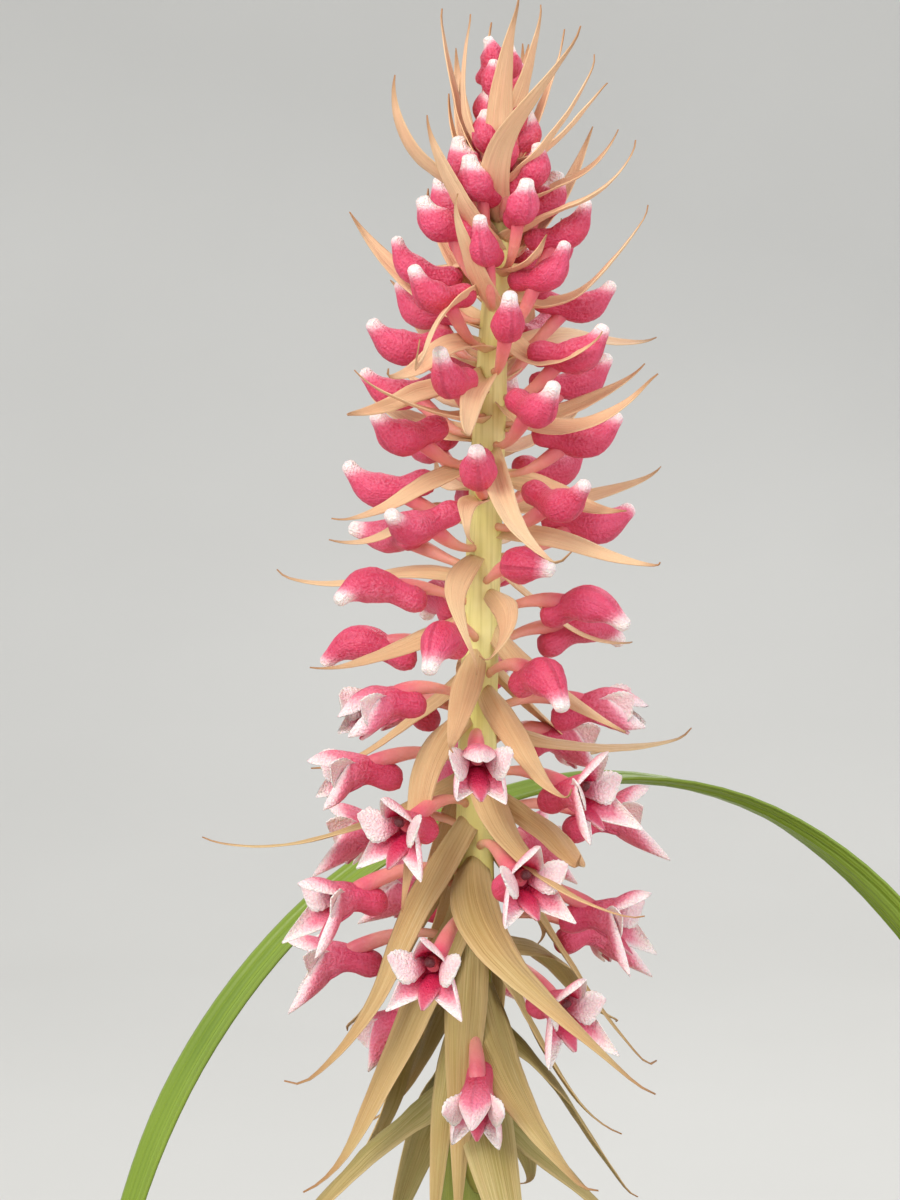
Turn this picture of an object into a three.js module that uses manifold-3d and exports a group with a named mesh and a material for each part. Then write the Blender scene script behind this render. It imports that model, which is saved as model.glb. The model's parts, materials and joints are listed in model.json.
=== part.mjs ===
// A large-spiked orchid in flower, growing in a square basket of stacked wooden slats.
// One erect spike stands among five egg-shaped pseudobulbs with long arching leaves. Its upper
// third is a dense raceme: a spiral of boot-shaped buds that open from the bottom upwards, each
// in the axil of a papery bract. Units are millimetres, +Z is up, and the origin lies on the
// ground under the basket's centre. The spike is seen from -Y.
import * as THREE from "three";
import { mergeVertices } from "three/addons/utils/BufferGeometryUtils.js";
import Module from "manifold-3d";

const wasm = await Module();
wasm.setup();

const SEAT_GAP = 0.3; // running gap between pieces that rest on each other

// Basket
const BASKET_WIDTH = 230;
const SLAT_SIDE = 12; // square section of a wall slat
const FLOOR_SLAT_WIDTH = 16;
const FLOOR_SLATS = 7;
const LAYERS = 8; // the floor, then pairs that run along X and Y in turn
const ROD_RADIUS = 1.5;
const ROD_FOOT = 1.5; // its lower end, above the ground
const ROD_HEAD_RADIUS = 3;
const ROD_HEAD_HEIGHT = 2;
const ROD_INSET = 10; // from the basket's outer face to a corner rod
const LAYER_PITCH = SLAT_SIDE + SEAT_GAP;
const BASKET_HEIGHT = LAYERS * LAYER_PITCH - SEAT_GAP;
const ROD_PLACE = BASKET_WIDTH / 2 - ROD_INSET;
const INNER_HALF = ROD_PLACE - SLAT_SIDE / 2;

// Growing medium
const MEDIUM_HALF = INNER_HALF - SEAT_GAP;
const MEDIUM_TOP = BASKET_HEIGHT - 10;
const MEDIUM_CELLS = 9;
const MEDIUM_LUMP = 3; // height of its lumps
const MEDIUM_DIP = 2; // its mean level below its top
const STEM_HOLE_GAP = 0.5;
const STEM_HOLE_SIDES = 10;

// Pseudobulbs: place of each on the medium, its width and its height above the medium
const BULBS = [
  { x: -78, y: 42, radius: 18, height: 52 },
  { x: -32, y: 34, radius: 20, height: 58 },
  { x: 30, y: 30, radius: 21, height: 60 },
  { x: 66, y: -22, radius: 19, height: 54 },
  { x: -50, y: -36, radius: 17, height: 46 },
];
const BULB_SUNK = 12;
const BULB_SIDES = 10;
const BULB_HOLE_GAP = 0.4;
// Outline of a bulb from its foot: shares of its radius and of its height
const BULB_PROFILE = [
  [0, 0], [0.55, 0], [0.86, 0.16], [1, 0.4], [0.9, 0.62], [0.62, 0.84], [0.32, 0.97], [0.3, 1], [0, 1],
];

// Leaves: the bulb that carries each, the way it leans, its length and half width, and the angle at
// which it rises and falls with the stretch along it where it turns over, or its angle all along
const LEAVES = [
  { bulb: 0, lean: 2.5, length: 430, half: 5.2,
    bend: [
      [0, 86], [0.15, 83], [0.3, 71], [0.42, 47], [0.54, 13], [0.64, -30], [0.74, -60], [0.86, -76], [1, -86],
    ],
    twist: [[0, 0], [0.2, 18], [0.3, 15], [0.4, 8], [0.58, 4], [0.64, 0], [0.72, -20], [1, -26]] },
  { bulb: 0, lean: 128, length: 430, half: 7.5, rise: 78, fall: -62, from: 30, to: 360,
    twist: [[0, 0], [0.5, 6]] },
  { bulb: 0, lean: 238, length: 400, half: 7, rise: 76, fall: -58, from: 20, to: 350,
    twist: [[0, 0], [0.5, -20]] },
  { bulb: 1, lean: 98, length: 400, half: 8, rise: 56, fall: -54, from: 0, to: 260,
    twist: [[0, 0], [0.5, 10]] },
  { bulb: 1, lean: 205, length: 370, half: 7, rise: 57, fall: -50, from: 0, to: 300,
    twist: [[0, 0], [0.5, -15]] },
  { bulb: 2, lean: 42, length: 430, half: 8, rise: 64, fall: -60, from: 0, to: 320,
    twist: [[0, 0], [0.5, 15]] },
  { bulb: 2, lean: 105, length: 350, half: 7, rise: 60, fall: -52, from: 0, to: 220,
    twist: [[0, 0], [0.5, 12]] },
  { bulb: 3, lean: 8, length: 450, half: 8, rise: 78, fall: -62, from: 30, to: 360,
    twist: [[0, 0], [0.5, -10]] },
  { bulb: 3, lean: 285, length: 400, half: 7.5, rise: 70, fall: -56, from: 0, to: 320,
    twist: [[0, 0], [0.5, 18]] },
  { bulb: 4, lean: 262, length: 380, half: 7, rise: 68, fall: -54, from: 0, to: 310,
    twist: [[0, 0], [0.5, -8]] },
];
const LEAF_BASE_OFFSET = 3.6; // from the middle of the bulb's crown
const LEAF_BASE_LIFT = 0.5; // above the crown
const LEAF_BASE_HALF = 2.2;
const LEAF_THICKNESS = 1.2;
const LEAF_STATIONS = 19;
const LEAF_STEPS = 54; // steps of its path, a multiple of the stations less one
const LEAF_FOLD = [[0, 14], [0.4, 22]]; // how far each half is raised, in degrees

// Spike: foot and tip of its axis, and two heights in the spiral of flowers, its lowest and the one
// that it reaches after a number of steps
const SPIKE_FOOT = MEDIUM_TOP - 18;
const SPIKE_TIP = 449;
const LEAN_LEVEL = 444; // where the lean of its axis is measured
const STEM_LEVELS = [SPIKE_FOOT, 150, 220, 285];
const RACEME_LEVELS = [305, 338, 370, 398, 420, 438];
const FLOWER_LOW = 300;
const FLOWER_HIGH = 438;
const STEPS_TO_HIGH = 82;
const FLOWERS = 93;
const CROWDING = 0.52; // how much closer the flowers stand towards the tip
const TURN_DEG = -137.33; // from one flower to the next, clockwise seen from above
const FIRST_TURN_DEG = 277.5;
const BARE_BRACTS = 1; // under the lowest flower
const FALLEN = [0, 1, 4, 5]; // flowers that have dropped and left their bracts

// Sheaths round the stem under the raceme
const SHEATHS = 5;
const SHEATH_FOOT = 96;
const SHEATH_LENGTH = 46;
const SHEATH_PITCH = 38;
const SHEATH_WALL = 0.8;
const SHEATH_FLARE = 1.5; // how far its top stands off the stem
const SHEATH_CUT = 0.66; // height of its rim opposite the point
const SHEATH_TURN_DEG = 150; // from one point to the next
const SHEATH_SIDES = 12;
const FIRST_SHEATH_DEG = -300;

// How the raceme changes from the lowest flower, 0, to the highest, 1: pairs of place and value
const SPIKE_RADIUS = [[-1.5, 3.9], [0, 3.3], [0.5, 2.9], [0.76, 2.6], [0.9, 2.1], [1, 1.4], [1.05, 1]];
const FLOWER_SIZE = [[0, 1], [0.45, 1], [0.8, 0.88], [0.9, 0.76], [0.96, 0.66], [1, 0.58], [1.05, 0.52]];
const FLOWER_TILT = [
  [0, -44], [0.06, -30], [0.13, -4], [0.3, -3], [0.42, -8], [0.5, -3], [0.6, 8],
  [0.72, 16], [0.82, 22], [0.9, 38], [0.96, 60], [1, 78], [1.05, 86],
];
const STALK_REACH = [
  [0, 13], [0.08, 19], [0.16, 21], [0.35, 18], [0.5, 15.5], [0.62, 14],
  [0.8, 12.5], [0.9, 9.5], [0.96, 5.5], [1, 3], [1.05, 1.8],
];
const STALK_RISE = [
  [0, -3.5], [0.08, -1.6], [0.16, -0.8], [0.35, 2.1], [0.5, 4.4], [0.57, 3.4],
  [0.64, 2.3], [0.75, 4], [0.86, 5.8], [0.95, 7.8], [1, 9], [1.05, 12],
];
const BRACT_LENGTH = [[0, 50], [0.25, 54], [0.4, 48], [0.5, 36], [0.6, 29], [0.85, 26], [1, 27], [1.05, 22]];
const BRACT_HALF = [[0, 4.6], [0.2, 4.4], [0.4, 3.8], [0.55, 2.8], [0.8, 2.3], [1, 1.9]];
const BRACT_START = [
  [0, -40], [0.05, -64], [0.2, -72], [0.4, -70], [0.5, -42], [0.62, -14], [0.75, 6], [0.88, 30],
  [1, 62], [1.05, 75],
];
const BRACT_END = [[0, -60], [0.15, -50], [0.3, -42], [0.45, -22], [0.6, 2], [0.75, 32], [0.88, 62], [1, 86]];
// Bracts that show in front, each with its own lie: its flower, how far beside it the bract starts,
// how far it turns from there, its slope at its foot, middle and tip, and its length
const OWN_BRACTS = [
  [4, 12, 12, -41, -59, -57, 43], [5, 20, 20, -56, -76, -80, 45], [7, -14, 22, -69, -40, -28, 43],
  [8, -3, -14, -55, -76, -43, 51], [9, 8, 27, -7, -48, -18, 47], [10, 4, 8, -66, -78, -70, 52],
  [15, -23, 84, -30, -24, -44, 57], [16, -4, -30, -51, -63, -24, 51], [17, 1, 8, -61, -59, -49, 53],
  [18, -14, -13, -46, -66, -26, 53], [20, 18, -87, -29, -23, 30, 34], [21, -5, -40, -34, -20, 4, 50],
  [23, 12, 53, -53, -27, -5, 46], [25, 14, 52, -24, -7, 1, 42], [26, 5, 46, -20, -78, -24, 39],
  [28, -5, -10, -35, -29, 10, 36], [29, -5, -21, -41, -40, -12, 35], [31, 4, 14, -43, -23, 6, 32],
  [33, -8, -17, -53, -24, -12, 32], [36, 11, -55, -10, -20, -19, 28], [37, 4, 6, 10, -18, 15, 36],
  [38, 3, 11, -44, -39, 4, 28], [39, 13, 54, -16, -16, -48, 35], [41, 20, -29, 2, -14, 4, 32],
  [42, -8, -2, 29, -38, 14, 24], [44, -8, 18, 6, 0, -30, 33], [46, -8, -43, -5, -18, 12, 25],
  [47, 3, 10, -5, -23, 4, 29], [49, -24, 9, -24, -9, 0, 62], [54, -9, 11, -37, 15, 54, 31],
  [55, 24, 17, 17, -16, 4, 31], [57, -26, 21, -4, -24, 2, 32], [59, 26, 26, 28, -9, 5, 36],
  [60, 3, 12, 22, -25, 8, 29], [62, 6, 1, -48, 7, 45, 22], [67, -4, 4, -28, 46, 59, 30],
  [68, 26, 41, -2, -34, 35, 46], [70, 7, -10, 10, 18, 55, 16], [71, 1, -44, -1, -5, 34, 23],
  [75, -1, 10, 31, 20, 68, 28], [78, -22, 87, 52, 35, 55, 41], [80, -2, -5, 30, 25, 71, 22],
  [81, -10, 1, 15, 38, 98, 30], [83, 9, 20, 43, 50, 68, 27], [84, 1, 1, 52, 77, 84, 30],
  [86, 0, 49, 67, 66, 64, 30], [88, 4, 20, 20, 48, 55, 21], [89, -6, -5, 30, 89, 106, 26],
  [91, 7, 20, 68, 64, 81, 25], [92, 0, 4, 81, 77, 106, 21],
];
const BRACT_WIDTH = [[0, 0.45], [0.12, 0.8], [0.3, 1], [0.5, 0.8], [0.7, 0.42], [0.86, 0.12], [1, 0.03]];
const BRACT_KEEL = 0.9; // depth of its keel
const BRACT_EDGE_LIFT = 0.22; // how far its edges rise, as a share of its half width
const BRACT_STEPS = 12; // steps of its path
const BRACT_PASS_DEG = 8; // how far beside its flower a bract starts
const BRACT_SWEEP_DEG = [14, 34]; // how far it turns away from there
const REFLEXED_DEG = -15; // a bract that starts steeper than this hangs with its keel outward
const MERGE = 0.03; // facets flatter than this are merged in the joined inflorescence
const LOW_END = 0.4; // flowers and bracts below this place are large and get more stations
const OPEN_FROM = 0.43; // flowers above this place are closed
const OPEN_SPAN = 0.1;
const ROLL_LOW = 0.5; // below this place the chin hangs under the stalk, and above the next it is on top
const ROLL_HIGH = 0.64;

// One flower in its own frame: forward from where the stalk joins it, and up on the stalk's side.
// Each station of the body has its place forward and up, and its radius.
const BUD_HEEL = [-5.7, -4.3];
const BUD_STATIONS = [[-4.4, -4.2, 2.4], [-0.4, -2.4, 2.9], [4.2, -1.2, 3.2]];
const BUD_TIP = [9.9, -2.8];
const TUBE_STATIONS = [[-4.5, -4.0, 2.25], [-0.6, -2.8, 2.6], [3.2, -2.2, 3.1]];
const THROAT = [3.0, -2.3, 1.0];
const THROAT_END = [4.2, -2.3, 0];
const LIP_TIP = [6.6, -6.8, 0];
// Free tips of an open flower: forward, up and to the side, from the top one round
const TEPAL_TIPS = [[9.2, 2.4, 0], [7.0, -1.0, 6.0], [8.8, -8.6, 6.5], [8.8, -8.6, -6.5], [7.0, -1.0, -6.0]];
const NOTCH = [4.8, 3.3]; // forward, and distance from the mouth's centre
const BODY_SIDES = 5;
const SMALL_STALK_RADIUS = 0.75;
const OVARY_RADIUS = 1.35;

const BARK = new THREE.MeshStandardMaterial({ color: 0x4f3526, roughness: 0.95 });
const SLAT_WOOD = new THREE.MeshStandardMaterial({ color: 0x8a5a38, roughness: 0.8 });
const STEEL_WIRE = new THREE.MeshStandardMaterial({ color: 0x9a9a98, roughness: 0.45, metalness: 0.9 });
const BULB_GREEN = new THREE.MeshStandardMaterial({ color: 0x7f9448, roughness: 0.6 });
const LEAF_GREEN = new THREE.MeshStandardMaterial({ color: 0x7ba83a, roughness: 0.55 });
const SHEATH_GREEN = new THREE.MeshStandardMaterial({ color: 0x8c8f45, roughness: 0.7 });
const FLOWER_PINK = new THREE.MeshStandardMaterial({ color: 0xd4486e, roughness: 0.6 });

const radians = THREE.MathUtils.degToRad;
const lerp = THREE.MathUtils.lerp;

// The value at place u in a list of [place, value] pairs, straight between them.
function along(pairs, u) {
  if (u <= pairs[0][0]) return pairs[0][1];
  for (let i = 1; i < pairs.length; i++) {
    const [a, va] = pairs[i - 1];
    const [b, vb] = pairs[i];
    if (u <= b) return lerp(va, vb, (u - a) / (b - a));
  }
  return pairs[pairs.length - 1][1];
}

// A repeatable draw from 0 to 1 for piece i; salt tells the uses apart.
function draw(i, salt) {
  const v = Math.sin((i + 11) * 12.9898 + salt * 78.233) * 43758.5453;
  return v - Math.floor(v);
}

function smoothstep(x) {
  const t = Math.min(1, Math.max(0, x));
  return t * t * (3 - 2 * t);
}

// Joins ring a to ring b with triangles; one ring may be a single point or have twice the points.
function stitch(faces, a, b) {
  const at = (ring, i) => ring[i % ring.length];
  if (a.length === 1) b.forEach((_, j) => faces.push([a[0], at(b, j + 1), b[j]]));
  else if (b.length === 1) a.forEach((_, i) => faces.push([a[i], at(a, i + 1), b[0]]));
  else if (a.length === b.length) {
    a.forEach((_, i) => {
      faces.push([a[i], at(a, i + 1), at(b, i + 1)]);
      faces.push([a[i], at(b, i + 1), b[i]]);
    });
  } else if (b.length === 2 * a.length) {
    a.forEach((_, i) => {
      faces.push([a[i], at(a, i + 1), b[2 * i + 1]]);
      faces.push([a[i], b[2 * i + 1], b[2 * i]]);
      faces.push([at(a, i + 1), at(b, 2 * i + 2), b[2 * i + 1]]);
    });
  } else {
    b.forEach((_, j) => {
      faces.push([a[2 * j], a[2 * j + 1], b[j]]);
      faces.push([a[2 * j + 1], at(b, j + 1), b[j]]);
      faces.push([a[2 * j + 1], at(a, 2 * j + 2), at(b, j + 1)]);
    });
  }
}

// A closed solid through rings of points. Its ends are closed flat, or looped into each other.
// A branch leaves it through a quad between two of its rings: the quad, then the branch's rings.
function ringSolid(rings, { looped = false, branch = [] } = {}) {
  const points = [...rings.flat(), ...branch.slice(1).flat()];
  const index = new Map(points.map((p, i) => [p, i]));
  let faces = [];
  for (let i = 1; i < rings.length; i++) stitch(faces, rings[i - 1], rings[i]);
  if (branch.length) faces = faces.filter((f) => !f.every((p) => branch[0].includes(p)));
  for (let i = 1; i < branch.length; i++) stitch(faces, branch[i - 1], branch[i]);
  const close = (ring, flip) => {
    for (let i = 2; i < ring.length; i++) {
      faces.push(flip ? [ring[0], ring[i], ring[i - 1]] : [ring[0], ring[i - 1], ring[i]]);
    }
  };
  if (looped) stitch(faces, rings[rings.length - 1], rings[0]);
  else {
    close(rings[0], true);
    close(rings[rings.length - 1], false);
  }
  if (branch.length) close(branch[branch.length - 1], false);
  return solidFrom(points, faces.map((f) => f.map((p) => index.get(p))));
}

function solidFrom(points, faces) {
  const make = (order) =>
    new wasm.Manifold(
      new wasm.Mesh({
        numProp: 3,
        vertProperties: new Float32Array(points.flatMap((p) => [p.x, p.y, p.z])),
        triVerts: new Uint32Array(faces.flatMap(order)),
      }),
    );
  const made = make((f) => f);
  return made.volume() > 0 ? made : make(([a, b, c]) => [a, c, b]);
}

function solidOf(geometry, weld = 1e-4) {
  const bare = geometry.index ? geometry.toNonIndexed() : geometry.clone();
  bare.deleteAttribute("normal");
  bare.deleteAttribute("uv");
  const merged = mergeVertices(bare, weld);
  return new wasm.Manifold(
    new wasm.Mesh({
      numProp: 3,
      vertProperties: merged.attributes.position.array,
      triVerts: new Uint32Array(merged.index.array),
    }),
  );
}

function geometryOf(solid) {
  const { vertProperties, numProp, triVerts } = solid.getMesh();
  const position = new Float32Array((vertProperties.length / numProp) * 3);
  for (let i = 0; i < position.length / 3; i++) {
    position.set(vertProperties.subarray(i * numProp, i * numProp + 3), i * 3);
  }
  const geometry = new THREE.BufferGeometry();
  geometry.setAttribute("position", new THREE.BufferAttribute(position, 3));
  geometry.setIndex(new THREE.BufferAttribute(new Uint32Array(triVerts), 1));
  return geometry;
}

function meshOf(name, solid, material) {
  const geometry = geometryOf(solid);
  geometry.computeVertexNormals();
  const mesh = new THREE.Mesh(geometry, material);
  mesh.name = name;
  return mesh;
}

const unite = (solids) => wasm.Manifold.union(solids);

// The largest connected body of a solid once points that all but touch are one: pinched-off
// scraps and pockets are dropped.
const WELD = 1e-3;
function mainBody(solid) {
  const welded = solidOf(geometryOf(solid), WELD);
  return welded.decompose().reduce((best, s) => (s.volume() > best.volume() ? s : best));
}

// Spike axis: it leans a little to the right, more so towards the tip.
function spikeAxis(z) {
  const t = (z - SPIKE_FOOT) / (LEAN_LEVEL - SPIKE_FOOT);
  return new THREE.Vector3(2 + 3 * t * t + 3.5 * t ** 6, 0, z);
}

const placeOf = (z) => (z - FLOWER_LOW) / (FLOWER_HIGH - FLOWER_LOW);
const spikeRadius = (z) => along(SPIKE_RADIUS, placeOf(z));

// Height and heading of flower i. Heading 0 faces -Y and 90 faces +X.
function flowerSeat(i) {
  const t = i / STEPS_TO_HIGH;
  const u = t + CROWDING * t * (1 - t);
  return { u, z: lerp(FLOWER_LOW, FLOWER_HIGH, u), heading: FIRST_TURN_DEG + TURN_DEG * i };
}

const outward = (heading) =>
  new THREE.Vector3(Math.sin(radians(heading)), -Math.cos(radians(heading)), 0);

// The frame of flower i: where its stalk leaves and joins, and its three directions.
function flowerFrame(i) {
  const { u, z, heading } = flowerSeat(i);
  const out = outward(heading);
  const axis = spikeAxis(z);
  const root = axis.clone().addScaledVector(out, spikeRadius(z) - 0.9);
  const joint = axis.clone().addScaledVector(out, along(STALK_REACH, u) * lerp(0.94, 1.06, draw(i, 1)));
  joint.z += along(STALK_RISE, u) + lerp(-0.7, 0.7, draw(i, 2));
  const tilt = radians(along(FLOWER_TILT, u) + lerp(-7, 7, draw(i, 3)));
  const turn = radians(heading + lerp(-10, 10, draw(i, 4)));
  const level = new THREE.Vector3(Math.sin(turn), -Math.cos(turn), 0);
  const forward = level.clone().multiplyScalar(Math.cos(tilt));
  forward.z = Math.sin(tilt);
  const side = new THREE.Vector3().crossVectors(forward, new THREE.Vector3(0, 0, 1)).normalize();
  const up = new THREE.Vector3().crossVectors(side, forward);
  const roll = Math.PI * smoothstep((u - ROLL_LOW) / (ROLL_HIGH - ROLL_LOW));
  const rolledUp = up.clone().multiplyScalar(Math.cos(roll)).addScaledVector(side, Math.sin(roll));
  const rolledSide = new THREE.Vector3().crossVectors(forward, rolledUp);
  const size = along(FLOWER_SIZE, u);
  const place = (f, h, s) =>
    joint
      .clone()
      .addScaledVector(forward, f * size)
      .addScaledVector(rolledUp, h * size)
      .addScaledVector(rolledSide, s * size);
  const openness = Math.min(1, Math.max(0, (OPEN_FROM - u) / OPEN_SPAN));
  return { u, root, place, size, roll, openness };
}

// A ring round the flower's body; one of its flats faces the stalk.
function bodyRing(place, [f, h, r]) {
  return Array.from({ length: BODY_SIDES }, (_, k) => {
    const a = (2 * Math.PI * (k - 0.5)) / BODY_SIDES;
    return place(f, h + r * Math.cos(a), r * Math.sin(a));
  });
}

// Rings of a closed bud, from its heel to its tip.
function budRings({ place }) {
  return [
    [place(...BUD_HEEL, 0)],
    ...BUD_STATIONS.map((station) => bodyRing(place, station)),
    [place(...BUD_TIP, 0)],
  ];
}

// Rings of an open flower: a tube whose mouth flares into five pointed tepals round a hollow
// throat, with the lip standing out of the throat.
function openFlowerRings({ place, openness }) {
  const [heel, waist, mouth] = TUBE_STATIONS;
  const open = lerp(0.15, 1, openness);
  const star = TEPAL_TIPS.flatMap(([f, h, s], k) => {
    const a = (2 * Math.PI * (k - 0.5)) / BODY_SIDES;
    const notch = place(NOTCH[0], mouth[1] + NOTCH[1] * Math.cos(a), NOTCH[1] * Math.sin(a));
    return [notch, place(lerp(BUD_TIP[0], f, open), lerp(BUD_TIP[1], h, open), s * open)];
  });
  return [
    [place(...BUD_HEEL, 0)],
    bodyRing(place, heel),
    bodyRing(place, waist),
    bodyRing(place, mouth),
    star,
    bodyRing(place, THROAT),
    [place(...LIP_TIP.map((v, k) => lerp(THROAT_END[k], v, openness)))],
  ];
}

// A flower with its stalk: the stalk grows out of the flat between the second and third ring,
// thick at the flower and thin at the spike, arched away from the flower's chin.
function flowerSolid(frame) {
  const { u, root, place, roll, size } = frame;
  const rings = frame.openness > 0 ? openFlowerRings(frame) : budRings(frame);
  const seat = [rings[1][0], rings[1][1], rings[2][1], rings[2][0]];
  const middle = root.clone().lerp(place(-1.5, 0.5, 0), 0.55);
  middle.z += lerp(2.4, -1.4, roll / Math.PI);
  const curve = new THREE.QuadraticBezierCurve3(root, middle, place(-2.2, -0.5, 0));
  const side = new THREE.Vector3().subVectors(seat[1], seat[0]).normalize();
  const stalk = (u < LOW_END ? [0.5, 0] : [0]).map((t) => {
    const centre = curve.getPoint(t);
    const tangent = curve.getTangent(t);
    const level = side.clone().addScaledVector(tangent, -side.dot(tangent)).normalize();
    const up = new THREE.Vector3().crossVectors(tangent, level);
    const r = lerp(SMALL_STALK_RADIUS, OVARY_RADIUS, t) * Math.max(0.75, size);
    return [[-1, 1], [1, 1], [1, -1], [-1, -1]].map(([a, b]) =>
      centre.clone().addScaledVector(level, a * r * 0.8).addScaledVector(up, b * r * 0.8),
    );
  });
  return ringSolid(rings, { branch: [seat, ...stalk] });
}

// A blade that is a shallow channel: rings of left edge, middle, right edge and middle again.
function bladeSolid(stations, thickness) {
  const rings = stations.map(({ centre, across, normal, half, fold }) => {
    const rise = half * Math.sin(radians(fold));
    const reach = half * Math.cos(radians(fold));
    const edge = (sign) => {
      return centre.clone().addScaledVector(across, sign * reach).addScaledVector(normal, -rise);
    };
    if (half < 0.2) return [centre.clone()];
    return [
      edge(-1),
      centre.clone().addScaledVector(normal, -thickness / 2),
      edge(1),
      centre.clone().addScaledVector(normal, thickness / 2),
    ];
  });
  return ringSolid(rings);
}

// Centre line that starts at a point and turns from one elevation to another along its length.
function turningPath(start, length, steps, headingAt, elevationAt) {
  const points = [{ centre: start.clone(), heading: headingAt(0), elevation: elevationAt(0) }];
  for (let k = 1; k <= steps; k++) {
    const s = (k - 0.5) / steps;
    const e = radians(elevationAt(s));
    const step = outward(headingAt(s)).multiplyScalar(Math.cos(e));
    step.z = Math.sin(e);
    const centre = points[k - 1].centre.clone().addScaledVector(step, length / steps);
    points.push({ centre, heading: headingAt(k / steps), elevation: elevationAt(k / steps) });
  }
  return points;
}

function bladeStation({ centre, heading, elevation }, half, fold, twist = 0) {
  const e = radians(elevation);
  const along3 = outward(heading).multiplyScalar(Math.cos(e));
  along3.z = Math.sin(e);
  const level = new THREE.Vector3(Math.cos(radians(heading)), Math.sin(radians(heading)), 0);
  const across = level.applyAxisAngle(along3, radians(twist));
  const normal = new THREE.Vector3().crossVectors(across, along3);
  return { centre, across, normal, half, fold };
}

// How the bract under flower i lies: its own way, or by rule swept past one side of its flower.
function bractLie(i) {
  const own = OWN_BRACTS.find((row) => row[0] === i);
  if (own) {
    const [, pass, sweep, low, middle, high, length] = own;
    return { pass, sweep, slopes: [[0, low], [0.5, middle], [1, high]], length };
  }
  const { u } = flowerSeat(i);
  const side = draw(i, 5) < 0.5 ? -1 : 1;
  const wander = lerp(-9, 9, draw(i, 6));
  return {
    pass: side * BRACT_PASS_DEG,
    sweep: side * lerp(...BRACT_SWEEP_DEG, draw(i, 8)),
    slopes: [[0, along(BRACT_START, u) + wander], [1, along(BRACT_END, u) + wander]],
    length: along(BRACT_LENGTH, u) * lerp(0.85, 1.15, draw(i, 7)),
  };
}

// The bract under flower i: broad near its foot, drawn out to a hair, and swept past one side of
// its flower. It is keeled, so three points do for each section.
function bractSolid(i) {
  const { u, z, heading } = flowerSeat(i);
  const { pass, sweep, slopes, length } = bractLie(i);
  const foot = heading + pass;
  const start = spikeAxis(z - 1.2).addScaledVector(outward(foot), spikeRadius(z) - 1.3);
  const slopeAt = (s) => along(slopes, s);
  const path = turningPath(start, length, BRACT_STEPS, (s) => foot + sweep * s, slopeAt);
  const half = along(BRACT_HALF, u);
  const cup = along(BRACT_START, u) < REFLEXED_DEG ? 1 : -1;
  const rings = (u < LOW_END ? [0, 4, 8] : [0, 5]).map((k) => {
    const { centre, across, normal } = bladeStation(path[k], half, 0);
    const reach = half * along(BRACT_WIDTH, k / BRACT_STEPS);
    const edge = (sign) => {
      return centre
        .clone()
        .addScaledVector(across, sign * reach)
        .addScaledVector(normal, cup * reach * BRACT_EDGE_LIFT);
    };
    return [edge(-1), centre.clone().addScaledVector(normal, -cup * BRACT_KEEL), edge(1)];
  });
  return ringSolid([...rings, [path[BRACT_STEPS].centre]]);
}

// A sheath that wraps the spike's stem and ends in a point on one side.
function sheathSolid(foot, length, pointHeading) {
  const ring = (wall, top) =>
    Array.from({ length: SHEATH_SIDES }, (_, k) => {
      const turn = (360 * k) / SHEATH_SIDES;
      const share = top ? lerp(SHEATH_CUT, 1, (Math.abs(180 - turn) / 180) ** 1.5) : 0;
      const z = foot + length * share;
      const radius = spikeRadius(z) + SEAT_GAP + SHEATH_FLARE * share + wall;
      return spikeAxis(z).addScaledVector(outward(pointHeading + turn), radius);
    });
  const rings = [ring(SHEATH_WALL, false), ring(SHEATH_WALL, true), ring(0, true), ring(0, false)];
  return ringSolid(rings, { looped: true });
}

// The spike's stem: round below the raceme, and six-sided where the flowers hide it.
function spikeStemSolid() {
  const ring = (z, sides) =>
    Array.from({ length: sides }, (_, k) => {
      return spikeAxis(z).addScaledVector(outward((360 * k) / sides), spikeRadius(z));
    });
  return ringSolid([
    ...STEM_LEVELS.map((z) => ring(z, 12)),
    ...RACEME_LEVELS.map((z) => ring(z, 6)),
    [spikeAxis(SPIKE_TIP)],
  ]);
}

function inflorescenceSolid() {
  const pieces = [spikeStemSolid()];
  for (let i = -BARE_BRACTS; i < FLOWERS; i++) pieces.push(bractSolid(i));
  for (let i = 0; i < FLOWERS; i++) if (!FALLEN.includes(i)) pieces.push(flowerSolid(flowerFrame(i)));
  return mainBody(unite(pieces).simplify(MERGE));
}

// Pseudobulb: an egg with a narrow flat crown where its leaves stand.
function bulbSolid({ x, y, radius, height }, grow = 0) {
  const foot = MEDIUM_TOP - BULB_SUNK - grow;
  const total = height + BULB_SUNK;
  const points = BULB_PROFILE.map(([r, h]) => {
    return new THREE.Vector2(r === 0 ? 0 : r * radius + grow, h * total + (h > 0 ? 2 * grow : 0));
  });
  const lathe = new THREE.LatheGeometry(points, BULB_SIDES);
  lathe.rotateX(Math.PI / 2);
  lathe.translate(x, y, foot);
  return solidOf(lathe);
}
const bulbCrown = ({ x, y, height }) => new THREE.Vector3(x, y, MEDIUM_TOP + height);

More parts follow.
